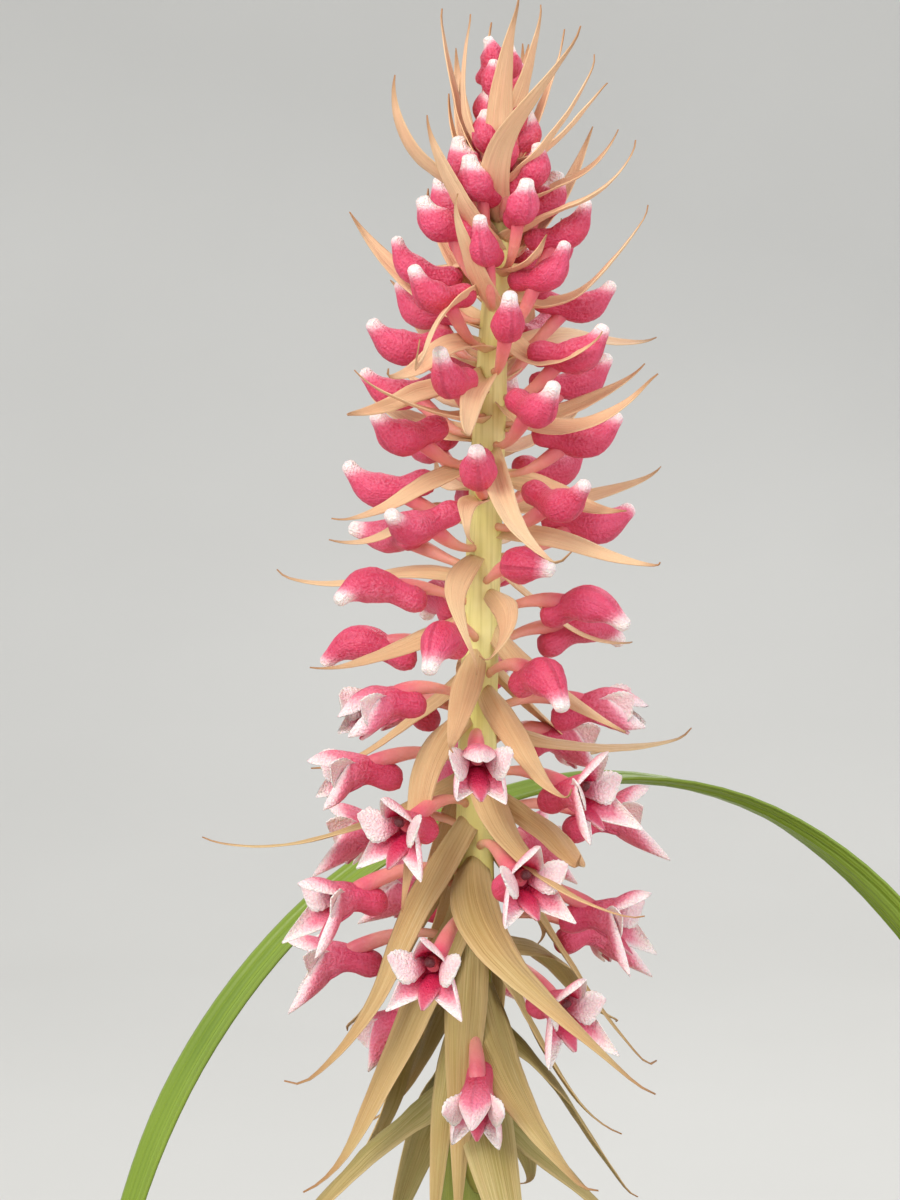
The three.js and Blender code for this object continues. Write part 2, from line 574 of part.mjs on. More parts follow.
// A leaf: narrow at its foot, broadest before the middle, and drawn out to a point.
function leafSolid({ bulb, lean, length, half, rise, fall, from, to, bend, twist }) {
  // lean is measured from +X towards +Y, and heading from -Y towards +X
  const heading = lean + 90;
  const start = bulbCrown(BULBS[bulb]).addScaledVector(outward(heading), LEAF_BASE_OFFSET);
  start.z += LEAF_BASE_LIFT;
  const turned = (s) => smoothstep((s * length - from) / (to - from));
  const elevation = (s) => (bend ? along(bend, s) : lerp(rise, fall, turned(s)));
  const path = turningPath(start, length, LEAF_STEPS, () => heading, elevation);
  const width = (s) => {
    const widening = lerp(LEAF_BASE_HALF / half, 1, smoothstep(s / 0.35));
    return s === 1 ? 0 : widening * (1 - smoothstep((s - 0.45) / 0.62));
  };
  const stations = Array.from({ length: LEAF_STATIONS }, (_, k) => {
    const s = k / (LEAF_STATIONS - 1);
    const point = path[Math.round(s * LEAF_STEPS)];
    return bladeStation(point, half * width(s), along(LEAF_FOLD, s), along(twist, s));
  });
  return bladeSolid(stations, LEAF_THICKNESS);
}

// Growing medium: a lumpy block with plain holes for the bulbs and the spike.
function mediumSolid() {
  const height = MEDIUM_TOP - LAYER_PITCH;
  const box = new THREE.BoxGeometry(2 * MEDIUM_HALF, 2 * MEDIUM_HALF, height, MEDIUM_CELLS, MEDIUM_CELLS);
  box.translate(0, 0, LAYER_PITCH + height / 2);
  const position = box.attributes.position;
  for (let i = 0; i < position.count; i++) {
    const [x, y, z] = [position.getX(i), position.getY(i), position.getZ(i)];
    const lump = Math.sin(x * 0.11 + 1.3 * Math.sin(y * 0.07)) * Math.cos(y * 0.09 + 0.6);
    if (z > LAYER_PITCH + height / 2) position.setZ(i, MEDIUM_TOP - MEDIUM_DIP + MEDIUM_LUMP * lump);
  }
  const holes = BULBS.map((bulb) => bulbSolid(bulb, BULB_HOLE_GAP));
  const depth = MEDIUM_TOP - SPIKE_FOOT + 10 * SEAT_GAP;
  const radius = spikeRadius(SPIKE_FOOT) + STEM_HOLE_GAP;
  const stemHole = new THREE.CylinderGeometry(radius, radius, 2 * depth, STEM_HOLE_SIDES);
  stemHole.rotateX(Math.PI / 2);
  stemHole.translate(spikeAxis(SPIKE_FOOT).x, 0, SPIKE_FOOT - SEAT_GAP + depth);
  return mainBody(solidOf(box).subtract(unite([...holes, solidOf(stemHole)])));
}

// A slat with its corner rod holes; it runs along X and is turned for the other walls.
function slatGeometry(width, holed) {
  const half = BASKET_WIDTH / 2;
  const outline = new THREE.Shape();
  outline.moveTo(-half, -width / 2);
  outline.lineTo(half, -width / 2);
  outline.lineTo(half, width / 2);
  outline.lineTo(-half, width / 2);
  outline.closePath();
  if (holed) {
    for (const x of [-ROD_PLACE, ROD_PLACE]) {
      const hole = new THREE.Path();
      hole.absarc(x, 0, ROD_RADIUS + SEAT_GAP, 0, 2 * Math.PI, true);
      outline.holes.push(hole);
    }
  }
  return new THREE.ExtrudeGeometry(outline, { depth: SLAT_SIDE, bevelEnabled: false, curveSegments: 6 });
}

function addBasket(group) {
  const addSlat = (name, width, holed, alongY, x, y, layer) => {
    const slat = new THREE.Mesh(slatGeometry(width, holed), SLAT_WOOD);
    slat.name = name;
    slat.rotation.z = alongY ? Math.PI / 2 : 0;
    slat.position.set(x, y, layer * LAYER_PITCH);
    group.add(slat);
  };
  for (let k = 0; k < FLOOR_SLATS; k++) {
    const x = lerp(-ROD_PLACE, ROD_PLACE, k / (FLOOR_SLATS - 1));
    addSlat(`basket_floor_slat_${k + 1}`, FLOOR_SLAT_WIDTH, k === 0 || k === FLOOR_SLATS - 1, true, x, 0, 0);
  }
  for (let layer = 1; layer < LAYERS; layer++) {
    const alongY = layer % 2 === 0;
    const level = Math.ceil(layer / 2);
    for (const sign of [-1, 1]) {
      const wall = alongY ? (sign < 0 ? "left" : "right") : sign < 0 ? "front" : "back";
      const x = alongY ? sign * ROD_PLACE : 0;
      const y = alongY ? 0 : sign * ROD_PLACE;
      addSlat(`basket_${wall}_slat_${level}`, SLAT_SIDE, true, alongY, x, y, layer);
    }
  }
  const headSeat = BASKET_HEIGHT + SEAT_GAP;
  const rodProfile = [
    [0, ROD_FOOT], [ROD_RADIUS, ROD_FOOT], [ROD_RADIUS, headSeat], [ROD_HEAD_RADIUS, headSeat],
    [ROD_HEAD_RADIUS * 0.7, headSeat + ROD_HEAD_HEIGHT], [0, headSeat + ROD_HEAD_HEIGHT],
  ].map(([r, z]) => new THREE.Vector2(r, z));
  for (const [k, sx, sy] of [[1, -1, -1], [2, 1, -1], [3, 1, 1], [4, -1, 1]]) {
    const rod = new THREE.Mesh(new THREE.LatheGeometry(rodProfile, 6).rotateX(Math.PI / 2), STEEL_WIRE);
    rod.name = `basket_corner_rod_${k}`;
    rod.position.set(sx * ROD_PLACE, sy * ROD_PLACE, 0);
    group.add(rod);
  }
}

const plant = new THREE.Group();
addBasket(plant);
plant.add(meshOf("growing_medium", mediumSolid(), BARK));
BULBS.forEach((bulb, k) => plant.add(meshOf(`pseudobulb_${k + 1}`, bulbSolid(bulb), BULB_GREEN)));
LEAVES.forEach((leaf, k) => plant.add(meshOf(`leaf_${k + 1}`, leafSolid(leaf), LEAF_GREEN)));
for (let k = 0; k < SHEATHS; k++) {
  const foot = SHEATH_FOOT + k * SHEATH_PITCH;
  const sheath = sheathSolid(foot, SHEATH_LENGTH, FIRST_SHEATH_DEG + SHEATH_TURN_DEG * k);
  plant.add(meshOf(`spike_sheath_${k + 1}`, sheath, SHEATH_GREEN));
}
plant.add(meshOf("inflorescence", inflorescenceSolid(), FLOWER_PINK));

export default plant;
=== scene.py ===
import json
import math

import bmesh
import bpy
import numpy as np
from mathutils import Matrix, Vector

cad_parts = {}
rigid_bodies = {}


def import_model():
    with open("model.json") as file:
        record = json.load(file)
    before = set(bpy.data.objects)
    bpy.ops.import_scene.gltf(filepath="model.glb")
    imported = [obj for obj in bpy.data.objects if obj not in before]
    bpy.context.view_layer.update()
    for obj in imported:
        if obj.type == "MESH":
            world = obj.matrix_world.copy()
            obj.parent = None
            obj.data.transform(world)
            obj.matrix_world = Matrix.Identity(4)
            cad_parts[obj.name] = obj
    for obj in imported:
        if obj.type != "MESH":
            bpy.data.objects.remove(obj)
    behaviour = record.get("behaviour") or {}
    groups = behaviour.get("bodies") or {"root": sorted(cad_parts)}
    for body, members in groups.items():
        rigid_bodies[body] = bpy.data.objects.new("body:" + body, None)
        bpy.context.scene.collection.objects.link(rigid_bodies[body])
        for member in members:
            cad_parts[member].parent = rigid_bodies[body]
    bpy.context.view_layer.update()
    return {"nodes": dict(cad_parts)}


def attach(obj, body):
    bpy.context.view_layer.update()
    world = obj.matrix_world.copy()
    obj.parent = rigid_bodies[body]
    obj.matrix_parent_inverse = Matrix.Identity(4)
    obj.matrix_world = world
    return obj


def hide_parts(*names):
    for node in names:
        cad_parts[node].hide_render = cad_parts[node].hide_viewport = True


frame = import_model()
MM = 0.001

# Camera
CAMERA_PLACE = (0.0, -0.450, 0.4328)
CAMERA_AIM = (0.0, 0.0, 0.375)
CAMERA_DISTANCE = 453.66
PICTURE_HALF_HEIGHT = 94.49  # at the spike
CAMERA_CLIP = 0.01


def looking(name, data, place, aim):
    """An object in the scene that looks from one place at another."""
    made = bpy.data.objects.new(name, data)
    made.location = place
    made.rotation_euler = (Vector(aim) - Vector(place)).to_track_quat("-Z", "Y").to_euler()
    bpy.context.scene.collection.objects.link(made)
    return made


def place_camera():
    lens = bpy.data.cameras.new("camera")
    lens.sensor_fit = "VERTICAL"
    lens.angle_y = 2 * math.atan(PICTURE_HALF_HEIGHT / CAMERA_DISTANCE)
    lens.clip_start = CAMERA_CLIP
    bpy.context.scene.camera = looking("camera", lens, CAMERA_PLACE, CAMERA_AIM)


place_camera()

# The plant's measures, the same as those of its solids
SEAT_GAP = 0.3
BASKET_WIDTH = 230
SLAT_SIDE = 12
FLOOR_SLAT_WIDTH = 16
FLOOR_SLATS = 7
LAYERS = 8
ROD_INSET = 10
ROD_PLACE = BASKET_WIDTH / 2 - ROD_INSET
LAYER_PITCH = SLAT_SIDE + SEAT_GAP
BASKET_HEIGHT = LAYERS * LAYER_PITCH - SEAT_GAP
MEDIUM_BELOW_RIM = 10
MEDIUM_TOP = BASKET_HEIGHT - MEDIUM_BELOW_RIM

# Place of each bulb on the medium, its radius and its height above the medium
BULBS = [(-78, 42, 18, 52), (-32, 34, 20, 58), (30, 30, 21, 60), (66, -22, 19, 54), (-50, -36, 17, 46)]
BULB_SUNK = 12

# The spike, its flowers and its bracts; pairs give a value at a place from the lowest flower, 0, to the
# highest, 1
SPIKE_SUNK = 18
SPIKE_FOOT = MEDIUM_TOP - SPIKE_SUNK
SPIKE_TIP = 449
LEAN_LEVEL = 444
FLOWER_LOW = 300
FLOWER_HIGH = 438
FLOWERS = 93
STEPS_TO_HIGH = 82
CROWDING = 0.52
TURN_DEG = -137.33
FIRST_TURN_DEG = 277.5
FALLEN = (0, 1, 4, 5)
OPEN_FROM = 0.43
OPEN_SPAN = 0.1
ROLL_LOW = 0.5
ROLL_HIGH = 0.64
SPIKE_RADIUS = [(-1.5, 3.9), (0, 3.3), (0.5, 2.9), (0.76, 2.6), (0.9, 2.1), (1, 1.4), (1.05, 1)]
FLOWER_SIZE = [(0, 1), (0.45, 1), (0.8, 0.88), (0.9, 0.76), (0.96, 0.66), (1, 0.58), (1.05, 0.52)]
FLOWER_TILT = [
    (0, -44), (0.06, -30), (0.13, -4), (0.3, -3), (0.42, -8), (0.5, -3), (0.6, 8),
    (0.72, 16), (0.82, 22), (0.9, 38), (0.96, 60), (1, 78), (1.05, 86),
]
STALK_REACH = [
    (0, 13), (0.08, 19), (0.16, 21), (0.35, 18), (0.5, 15.5), (0.62, 14),
    (0.8, 12.5), (0.9, 9.5), (0.96, 5.5), (1, 3), (1.05, 1.8),
]
STALK_RISE = [
    (0, -3.5), (0.08, -1.6), (0.16, -0.8), (0.35, 2.1), (0.5, 4.4), (0.57, 3.4),
    (0.64, 2.3), (0.75, 4), (0.86, 5.8), (0.95, 7.8), (1, 9), (1.05, 12),
]
BRACT_LENGTH = [(0, 50), (0.25, 54), (0.4, 48), (0.5, 36), (0.6, 29), (0.85, 26), (1, 27), (1.05, 22)]
BRACT_HALF = [(0, 4.6), (0.2, 4.4), (0.4, 3.8), (0.55, 2.8), (0.8, 2.3), (1, 1.9)]
BRACT_START = [
    (0, -40), (0.05, -64), (0.2, -72), (0.4, -70), (0.5, -42), (0.62, -14), (0.75, 6), (0.88, 30),
    (1, 62), (1.05, 75),
]
BRACT_END = [(0, -60), (0.15, -50), (0.3, -42), (0.45, -22), (0.6, 2), (0.75, 32), (0.88, 62), (1, 86)]
# Bracts that show in front, each with its own lie: its flower, how far beside it the bract starts,
# how far it turns from there, its slope at its foot, middle and tip, and its length
OWN_BRACTS = [
    (4, 12, 12, -41, -59, -57, 43), (5, 20, 20, -56, -76, -80, 45), (7, -14, 22, -69, -40, -28, 43),
    (8, -3, -14, -55, -76, -43, 51), (9, 8, 27, -7, -48, -18, 47), (10, 4, 8, -66, -78, -70, 52),
    (15, -23, 84, -30, -24, -44, 57), (16, -4, -30, -51, -63, -24, 51), (17, 1, 8, -61, -59, -49, 53),
    (18, -14, -13, -46, -66, -26, 53), (20, 18, -87, -29, -23, 30, 34), (21, -5, -40, -34, -20, 4, 50),
    (23, 12, 53, -53, -27, -5, 46), (25, 14, 52, -24, -7, 1, 42), (26, 5, 46, -20, -78, -24, 39),
    (28, -5, -10, -35, -29, 10, 36), (29, -5, -21, -41, -40, -12, 35), (31, 4, 14, -43, -23, 6, 32),
    (33, -8, -17, -53, -24, -12, 32), (36, 11, -55, -10, -20, -19, 28), (37, 4, 6, 10, -18, 15, 36),
    (38, 3, 11, -44, -39, 4, 28), (39, 13, 54, -16, -16, -48, 35), (41, 20, -29, 2, -14, 4, 32),
    (42, -8, -2, 29, -38, 14, 24), (44, -8, 18, 6, 0, -30, 33), (46, -8, -43, -5, -18, 12, 25),
    (47, 3, 10, -5, -23, 4, 29), (49, -24, 9, -24, -9, 0, 62), (54, -9, 11, -37, 15, 54, 31),
    (55, 24, 17, 17, -16, 4, 31), (57, -26, 21, -4, -24, 2, 32), (59, 26, 26, 28, -9, 5, 36),
    (60, 3, 12, 22, -25, 8, 29), (62, 6, 1, -48, 7, 45, 22), (67, -4, 4, -28, 46, 59, 30),
    (68, 26, 41, -2, -34, 35, 46), (70, 7, -10, 10, 18, 55, 16), (71, 1, -44, -1, -5, 34, 23),
    (75, -1, 10, 31, 20, 68, 28), (78, -22, 87, 52, 35, 55, 41), (80, -2, -5, 30, 25, 71, 22),
    (81, -10, 1, 15, 38, 98, 30), (83, 9, 20, 43, 50, 68, 27), (84, 1, 1, 52, 77, 84, 30),
    (86, 0, 49, 67, 66, 64, 30), (88, 4, 20, 20, 48, 55, 21), (89, -6, -5, 30, 89, 106, 26),
    (91, 7, 20, 68, 64, 81, 25), (92, 0, 4, 81, 77, 106, 21),
]
BRACT_PASS_DEG = 8
BRACT_SWEEP_DEG = (14, 34)
BRACT_SLOPE_WANDER = 9
BRACT_LENGTH_SHARE = (0.85, 1.15)
STALK_SUNK = 0.9
STALK_REACH_SHARE = (0.94, 1.06)
STALK_RISE_WANDER = 0.7
FLOWER_TILT_WANDER = 7
FLOWER_TURN_WANDER = 10
SHEATHS = 5
SHEATH_FOOT = 96
SHEATH_LENGTH = 46
SHEATH_PITCH = 38
FIRST_SHEATH_DEG = -300
SHEATH_TURN_DEG = 150


def lerp(a, b, t):
    return a + (b - a) * t


def along(pairs, u):
    """The value at place u in a list of (place, value) pairs."""
    return float(np.interp(u, [p[0] for p in pairs], [p[1] for p in pairs]))


def draw(i, salt):
    """A repeatable number from 0 to 1 for piece i; salt tells the uses apart."""
    v = math.sin((i + 11) * 12.9898 + salt * 78.233) * 43758.5453
    return v - math.floor(v)


def wander(i, salt, most):
    """A repeatable number from -most to most for piece i."""
    return lerp(-most, most, draw(i, salt))


def smoothstep(x):
    t = min(1.0, max(0.0, x))
    return t * t * (3 - 2 * t)


def spike_axis(z):
    """The middle of the stem at height z; the stem leans a little towards +X."""
    t = (z - SPIKE_FOOT) / (LEAN_LEVEL - SPIKE_FOOT)
    return Vector((2 + 3 * t * t + 3.5 * t**6, 0, z))


def spike_radius(z):
    return along(SPIKE_RADIUS, (z - FLOWER_LOW) / (FLOWER_HIGH - FLOWER_LOW))


def outward(heading):
    """The level direction away from the stem at a heading in degrees, 0 towards -Y."""
    return Vector((math.sin(math.radians(heading)), -math.cos(math.radians(heading)), 0))


def pointing(heading, slope):
    """The direction with this heading that rises at this slope, both in degrees."""
    s = math.radians(slope)
    ahead = outward(heading) * math.cos(s)
    ahead.z = math.sin(s)
    return ahead


def flower_seat(i):
    """The place of flower i from the lowest to the highest, its height and its heading."""
    t = i / STEPS_TO_HIGH
    u = t + CROWDING * t * (1 - t)
    return u, lerp(FLOWER_LOW, FLOWER_HIGH, u), FIRST_TURN_DEG + TURN_DEG * i


def flower_frame(i):
    """Where flower i leaves the spike and joins its stalk, and its directions, age and size."""
    u, z, heading = flower_seat(i)
    out = outward(heading)
    axis = spike_axis(z)
    joint = axis + out * (along(STALK_REACH, u) * lerp(*STALK_REACH_SHARE, draw(i, 1)))
    joint.z += along(STALK_RISE, u) + wander(i, 2, STALK_RISE_WANDER)
    tilt = along(FLOWER_TILT, u) + wander(i, 3, FLOWER_TILT_WANDER)
    forward = pointing(heading + wander(i, 4, FLOWER_TURN_WANDER), tilt)
    side = forward.cross(Vector((0, 0, 1))).normalized()
    roll = math.pi * smoothstep((u - ROLL_LOW) / (ROLL_HIGH - ROLL_LOW))
    return dict(
        age=u, out=out, joint=joint, forward=forward, roll=roll, size=along(FLOWER_SIZE, u),
        root=axis + out * (spike_radius(z) - STALK_SUNK),
        upright=side.cross(forward) * math.cos(roll) + side * math.sin(roll),
        openness=min(1.0, max(0.0, (OPEN_FROM - u) / OPEN_SPAN)),
    )


def bract_lie(i):
    """How bract i lies: its own way, or by rule swept past one side of its flower."""
    for number, passed, sweep, low, middle, high, length in OWN_BRACTS:
        if number == i:
            return passed, sweep, [(0, low), (0.5, middle), (1, high)], length
    u = flower_seat(i)[0]
    side = -1 if draw(i, 5) < 0.5 else 1
    off = wander(i, 6, BRACT_SLOPE_WANDER)
    slopes = [(0, along(BRACT_START, u) + off), (1, along(BRACT_END, u) + off)]
    length = along(BRACT_LENGTH, u) * lerp(*BRACT_LENGTH_SHARE, draw(i, 7))
    return side * BRACT_PASS_DEG, side * lerp(*BRACT_SWEEP_DEG, draw(i, 8)), slopes, length


def turning_path(start, length, steps, heading_at, slope_at):
    """Points of a line that turns along its length, with its heading and slope at each."""
    points = [(start.copy(), heading_at(0), slope_at(0))]
    for k in range(1, steps + 1):
        halfway, end = (k - 0.5) / steps, k / steps
        step = pointing(heading_at(halfway), slope_at(halfway))
        points.append((points[-1][0] + step * (length / steps), heading_at(end), slope_at(end)))
    return points


def blade_directions(heading, slope, twist=0.0):
    """The directions across a blade and out of its upper face."""
    ahead = pointing(heading, slope)
    level = Vector((math.cos(math.radians(heading)), math.sin(math.radians(heading)), 0))
    t = math.radians(twist)
    across = level * math.cos(t) + ahead.cross(level) * math.sin(t)
    return across, across.cross(ahead)


# Node trees
SOCKETS = {
    "geometry": "NodeSocketGeometry", "number": "NodeSocketFloat", "count": "NodeSocketInt",
    "vector": "NodeSocketVector", "material": "NodeSocketMaterial", "collection": "NodeSocketCollection",
}
NODES_IN_A_ROW = 12
NODE_STEP = (200, 220)
EVEN = (0.3, 0.7)  # the stretch of a noise that is spread from 0 to 1


def hue(code):
    """A colour from its six-digit screen code, as the linear numbers that shaders use."""
    parts = [int(code[k:k + 2], 16) / 255 for k in (0, 2, 4)]
    return tuple(c / 12.92 if c <= 0.04045 else ((c + 0.055) / 1.055) ** 2.4 for c in parts) + (1.0,)


class Tree:
    """A node tree under construction. Most methods add a node and return the output to read from."""

    def __init__(self, tree, inputs=(), outputs=()):
        """A group has named inputs and outputs, each given as (name, kind, value)."""
        self.tree = tree
        for direction, sockets in (("INPUT", inputs), ("OUTPUT", outputs)):
            for label, what, *value in sockets:
                socket = tree.interface.new_socket(label, in_out=direction, socket_type=SOCKETS[what])
                if value:
                    socket.default_value = value[0]
        if outputs:
            self.given = self.add("NodeGroupInput").outputs
            self.result = self.add("NodeGroupOutput").inputs

    def put(self, socket, value):
        """Sets an input to a value, or links it from an output."""
        if isinstance(value, bpy.types.NodeSocket):
            self.tree.links.new(value, socket)
        else:
            socket.default_value = value

    def add(self, kind, inputs=None, **settings):
        """The node itself."""
        made = self.tree.nodes.new(kind)
        row, column = divmod(len(self.tree.nodes), NODES_IN_A_ROW)
        made.location = (column * NODE_STEP[0], -row * NODE_STEP[1])
        for name, value in settings.items():
            setattr(made, name, value)
        for key, value in (inputs or {}).items():
            self.put(made.inputs[key], value)
        return made

    def math(self, operation, *values):
        return self.add("ShaderNodeMath", dict(enumerate(values)), operation=operation).outputs[0]

    def times(self, a, b):
        return self.math("MULTIPLY", a, b)

    def plus(self, a, b):
        return self.math("ADD", a, b)

    def vector(self, operation, *values):
        keys = (0, "Scale") if operation == "SCALE" else (0, 1)
        made = self.add("ShaderNodeVectorMath", dict(zip(keys, values)), operation=operation)
        return made.outputs[0]

    def triple(self, **parts):
        return self.add("ShaderNodeCombineXYZ", parts).outputs[0]

    def noise(self, place, scale=1.0, detail=2.0, output=0):
        made = self.add("ShaderNodeTexNoise", {"Vector": place, "Scale": scale, "Detail": detail})
        return made.outputs[output]

    def stretched_noise(self, place, stretch, detail=2.0):
        return self.noise(self.vector("MULTIPLY", place, stretch), 1.0, detail)

    def remap(self, value, low, high, out_low=0.0, out_high=1.0):
        made = self.add("ShaderNodeMapRange", {"Value": value, "From Min": low, "From Max": high,
                                               "To Min": out_low, "To Max": out_high})
        return made.outputs[0]

    def geo(self, kind, inputs=None, **settings):
        return self.add("GeometryNode" + kind, inputs, **settings).outputs[0]

    def named(self, label, kind="FLOAT"):
        """A number or a vector that the geometry carries."""
        return self.geo("InputNamedAttribute", {"Name": label}, data_type=kind)

    def stored(self, geometry, label, value, kind="FLOAT", domain="POINT"):
        """The geometry with a number or a vector added to what it carries."""
        return self.geo("StoreNamedAttribute", {"Geometry": geometry, "Name": label, "Value": value},
                        data_type=kind, domain=domain)

    def random(self, low, high, seed):
        made = self.add("FunctionNodeRandomValue", {2: low, 3: high, "Seed": seed}, data_type="FLOAT")
        return made.outputs[1]

    def kinds(self):
        """The pieces of the collection, one by one."""
        return self.geo("CollectionInfo", {"Collection": self.given["Kinds"], "Separate Children": True,
                                           "Reset Children": True})

    def closed(self, geometry):
        """Ends a geometry tree: real faces with their finish on them."""
        real = self.geo("RealizeInstances", {"Geometry": geometry})
        dressed = self.geo("SetMaterial", {"Geometry": real, "Material": self.given["Finish"]})
        self.put(self.result[0], dressed)
        return self.tree

    def number(self, label):
        """A number that a mesh carries, in its material."""
        return self.add("ShaderNodeAttribute", attribute_name=label).outputs["Fac"]

    def place(self):
        return self.add("ShaderNodeTexCoord").outputs["Object"]

    def mix(self, share, a, b):
        """Colour a with colour b laid over it; a colour may be a screen code."""
        a, b = (hue(c) if isinstance(c, str) else c for c in (a, b))
        made = self.add("ShaderNodeMix", {0: share, 6: a, 7: b}, data_type="RGBA", clamp_factor=True)
        return made.outputs[2]

    def layered(self, colour, *layers):
        """A colour with others laid over it in turn, each given as (share, colour)."""
        for share, other in layers:
            colour = self.mix(share, colour, other)
        return colour

    def ramp(self, value, *stops):
        """A colour that runs through stops, each given as (place, code)."""
        made = self.add("ShaderNodeValToRGB", {"Fac": value})
        ramp = made.color_ramp
        while len(ramp.elements) < len(stops):
            ramp.elements.new(0.5)
        for element, (place, code) in zip(ramp.elements, stops):
            element.position = place
            element.color = hue(code)
        return made.outputs[0]

    def group(self, tree, inputs, *outputs):
        made = self.add("ShaderNodeGroup", inputs, node_tree=tree)
        return [made.outputs[label] for label in outputs]

    def veins(self, lines):
        inputs = {label.capitalize(): self.number(label) for label in ("side", "way", "number")}
        return self.group(VEINS, {**inputs, "Lines": lines}, "Lines", "Fine Lines")

    def mottle(self, patch_scale, speck_scale):
        inputs = {"Place": self.place(), "Patch Scale": patch_scale, "Speck Scale": speck_scale}
        return self.group(MOTTLE, inputs, "Patches", "Specks")

    def roughness(self, value, low, high):
        return self.remap(value, 0.0, 1.0, low, high)


def geometry_tree(name, *inputs):
    """A geometry tree; its last input is the finish that it puts on."""
    tree = bpy.data.node_groups.new(name, "GeometryNodeTree")
    return Tree(tree, [*inputs, ("Finish", "material")], [("Geometry", "geometry")])


def tube_tree():
    """A round tube along each path; the number girth is its radius at each point."""
    t = geometry_tree("tube along a path", ("Path", "geometry"), ("Sides", "count", 12))
    curve = t.geo("MeshToCurve", {"Mesh": t.given["Path"]})
    circle = t.geo("CurvePrimitiveCircle", {"Resolution": t.given["Sides"], "Radius": MM})
    swept = t.geo("CurveToMesh", {"Curve": curve, "Profile Curve": circle, "Scale": t.named("girth"),
                                  "Fill Caps": True})
    return t.closed(t.geo("SetShadeSmooth", {"Geometry": swept}))


CLASP_POWER = 6.0  # how quickly a blade's clasp at its foot lets go along it
# How quickly a blade's waves change along it, across it and from blade to blade
RIPPLE = (7.0, 0.8, 3.7)


def blade_tree():
    """A thin blade along each path. The paths carry the numbers half, number and way, and the
    vectors across and facing. The numbers side and way stay on the blade for its finish."""
    t = geometry_tree(
        "blade along a path", ("Path", "geometry"), ("Columns", "count", 9), ("Fold", "number", 0.2),
        ("Clasp", "number", 0.0), ("Ribs", "number", 4.0), ("Rib Depth", "number", 0.02),
        ("Wave", "number", 0.0),
    )
    centred = t.stored(t.given["Path"], "centre", t.geo("InputPosition"), "FLOAT_VECTOR")
    curve = t.geo("MeshToCurve", {"Mesh": centred})
    line = t.geo("CurvePrimitiveLine", {"Start": (-MM, 0, 0), "End": (MM, 0, 0)})
    columns = t.geo("ResampleCurve", {"Curve": line, "Count": t.given["Columns"]})
    column = t.add("GeometryNodeSplineParameter").outputs["Factor"]
    profile = t.stored(columns, "side", t.math("MULTIPLY_ADD", column, 2.0, -1.0))
    swept = t.geo("CurveToMesh", {"Curve": curve, "Profile Curve": profile})
    side, way, number = t.named("side"), t.named("way"), t.named("number")
    reach = t.times(t.named("half"), MM)
    fold = t.times(t.math("ABSOLUTE", side), t.given["Fold"])
    foot = t.math("POWER", t.math("SUBTRACT", 1.0, way), CLASP_POWER)
    clasp = t.times(t.times(foot, t.given["Clasp"]), t.times(side, side))
    ribs = t.math("COSINE", t.times(side, t.times(t.given["Ribs"], math.pi)))
    seat = t.triple(X=t.times(way, RIPPLE[0]), Y=t.times(side, RIPPLE[1]), Z=t.times(number, RIPPLE[2]))
    wave = t.times(t.math("SUBTRACT", t.noise(seat, 1.0, 1.0), 0.5), t.given["Wave"])
    rise = t.plus(t.plus(fold, clasp), t.plus(t.times(ribs, t.given["Rib Depth"]), wave))
    shift = t.vector(
        "ADD",
        t.vector("SCALE", t.named("across", "FLOAT_VECTOR"), t.times(side, reach)),
        t.vector("SCALE", t.named("facing", "FLOAT_VECTOR"), t.times(rise, reach)),
    )
    position = t.vector("ADD", t.named("centre", "FLOAT_VECTOR"), shift)
    moved = t.geo("SetPosition", {"Geometry": swept, "Position": position})
    return t.closed(t.geo("SetShadeSmooth", {"Geometry": moved}))


def seated_tree():
    """A piece of the collection at each point: kind picks it, forward and upright turn it."""
    t = geometry_tree("pieces at their seats", ("Seats", "geometry"), ("Kinds", "collection"))
    turn = t.add(
        "FunctionNodeAxesToRotation",
        {"Primary Axis": t.named("forward", "FLOAT_VECTOR"),
         "Secondary Axis": t.named("upright", "FLOAT_VECTOR")},
        primary_axis="X", secondary_axis="Z",
    ).outputs[0]
    return t.closed(t.geo("InstanceOnPoints", {
        "Points": t.given["Seats"], "Instance": t.kinds(), "Pick Instance": True,
        "Instance Index": t.named("kind", "INT"), "Rotation": turn, "Scale": t.named("size")}))


def slat_tree():
    """A sawn slat with eased edges along each path; the number ease narrows its ends."""
    t = geometry_tree(
        "eased slat", ("Path", "geometry"), ("Width", "number", 0.012), ("Height", "number", 0.012),
        ("Edge", "number", 0.0012), ("Unevenness", "number", 0.0004),
    )
    curve = t.geo("MeshToCurve", {"Mesh": t.given["Path"]})
    level = t.geo("SetCurveNormal", {"Curve": curve}, mode="Z_UP")
    outline = t.geo("CurvePrimitiveQuadrilateral", {"Width": t.given["Width"], "Height": t.given["Height"]})
    eased = t.geo("FilletCurve", {"Curve": outline, "Count": 3, "Radius": t.given["Edge"]}, mode="POLY")
    section = t.stored(eased, "section", t.geo("InputPosition"), "FLOAT_VECTOR")
    swept = t.geo("CurveToMesh", {"Curve": level, "Profile Curve": section, "Scale": t.named("ease"),
                                  "Fill Caps": True})
    bumps = t.noise(t.geo("InputPosition"), 28.0, 2.0, "Color")
    offset = t.vector("SCALE", t.vector("SUBTRACT", bumps, (0.5, 0.5, 0.5)), t.given["Unevenness"])
    return t.closed(t.geo("SetPosition", {"Geometry": swept, "Offset": offset}))


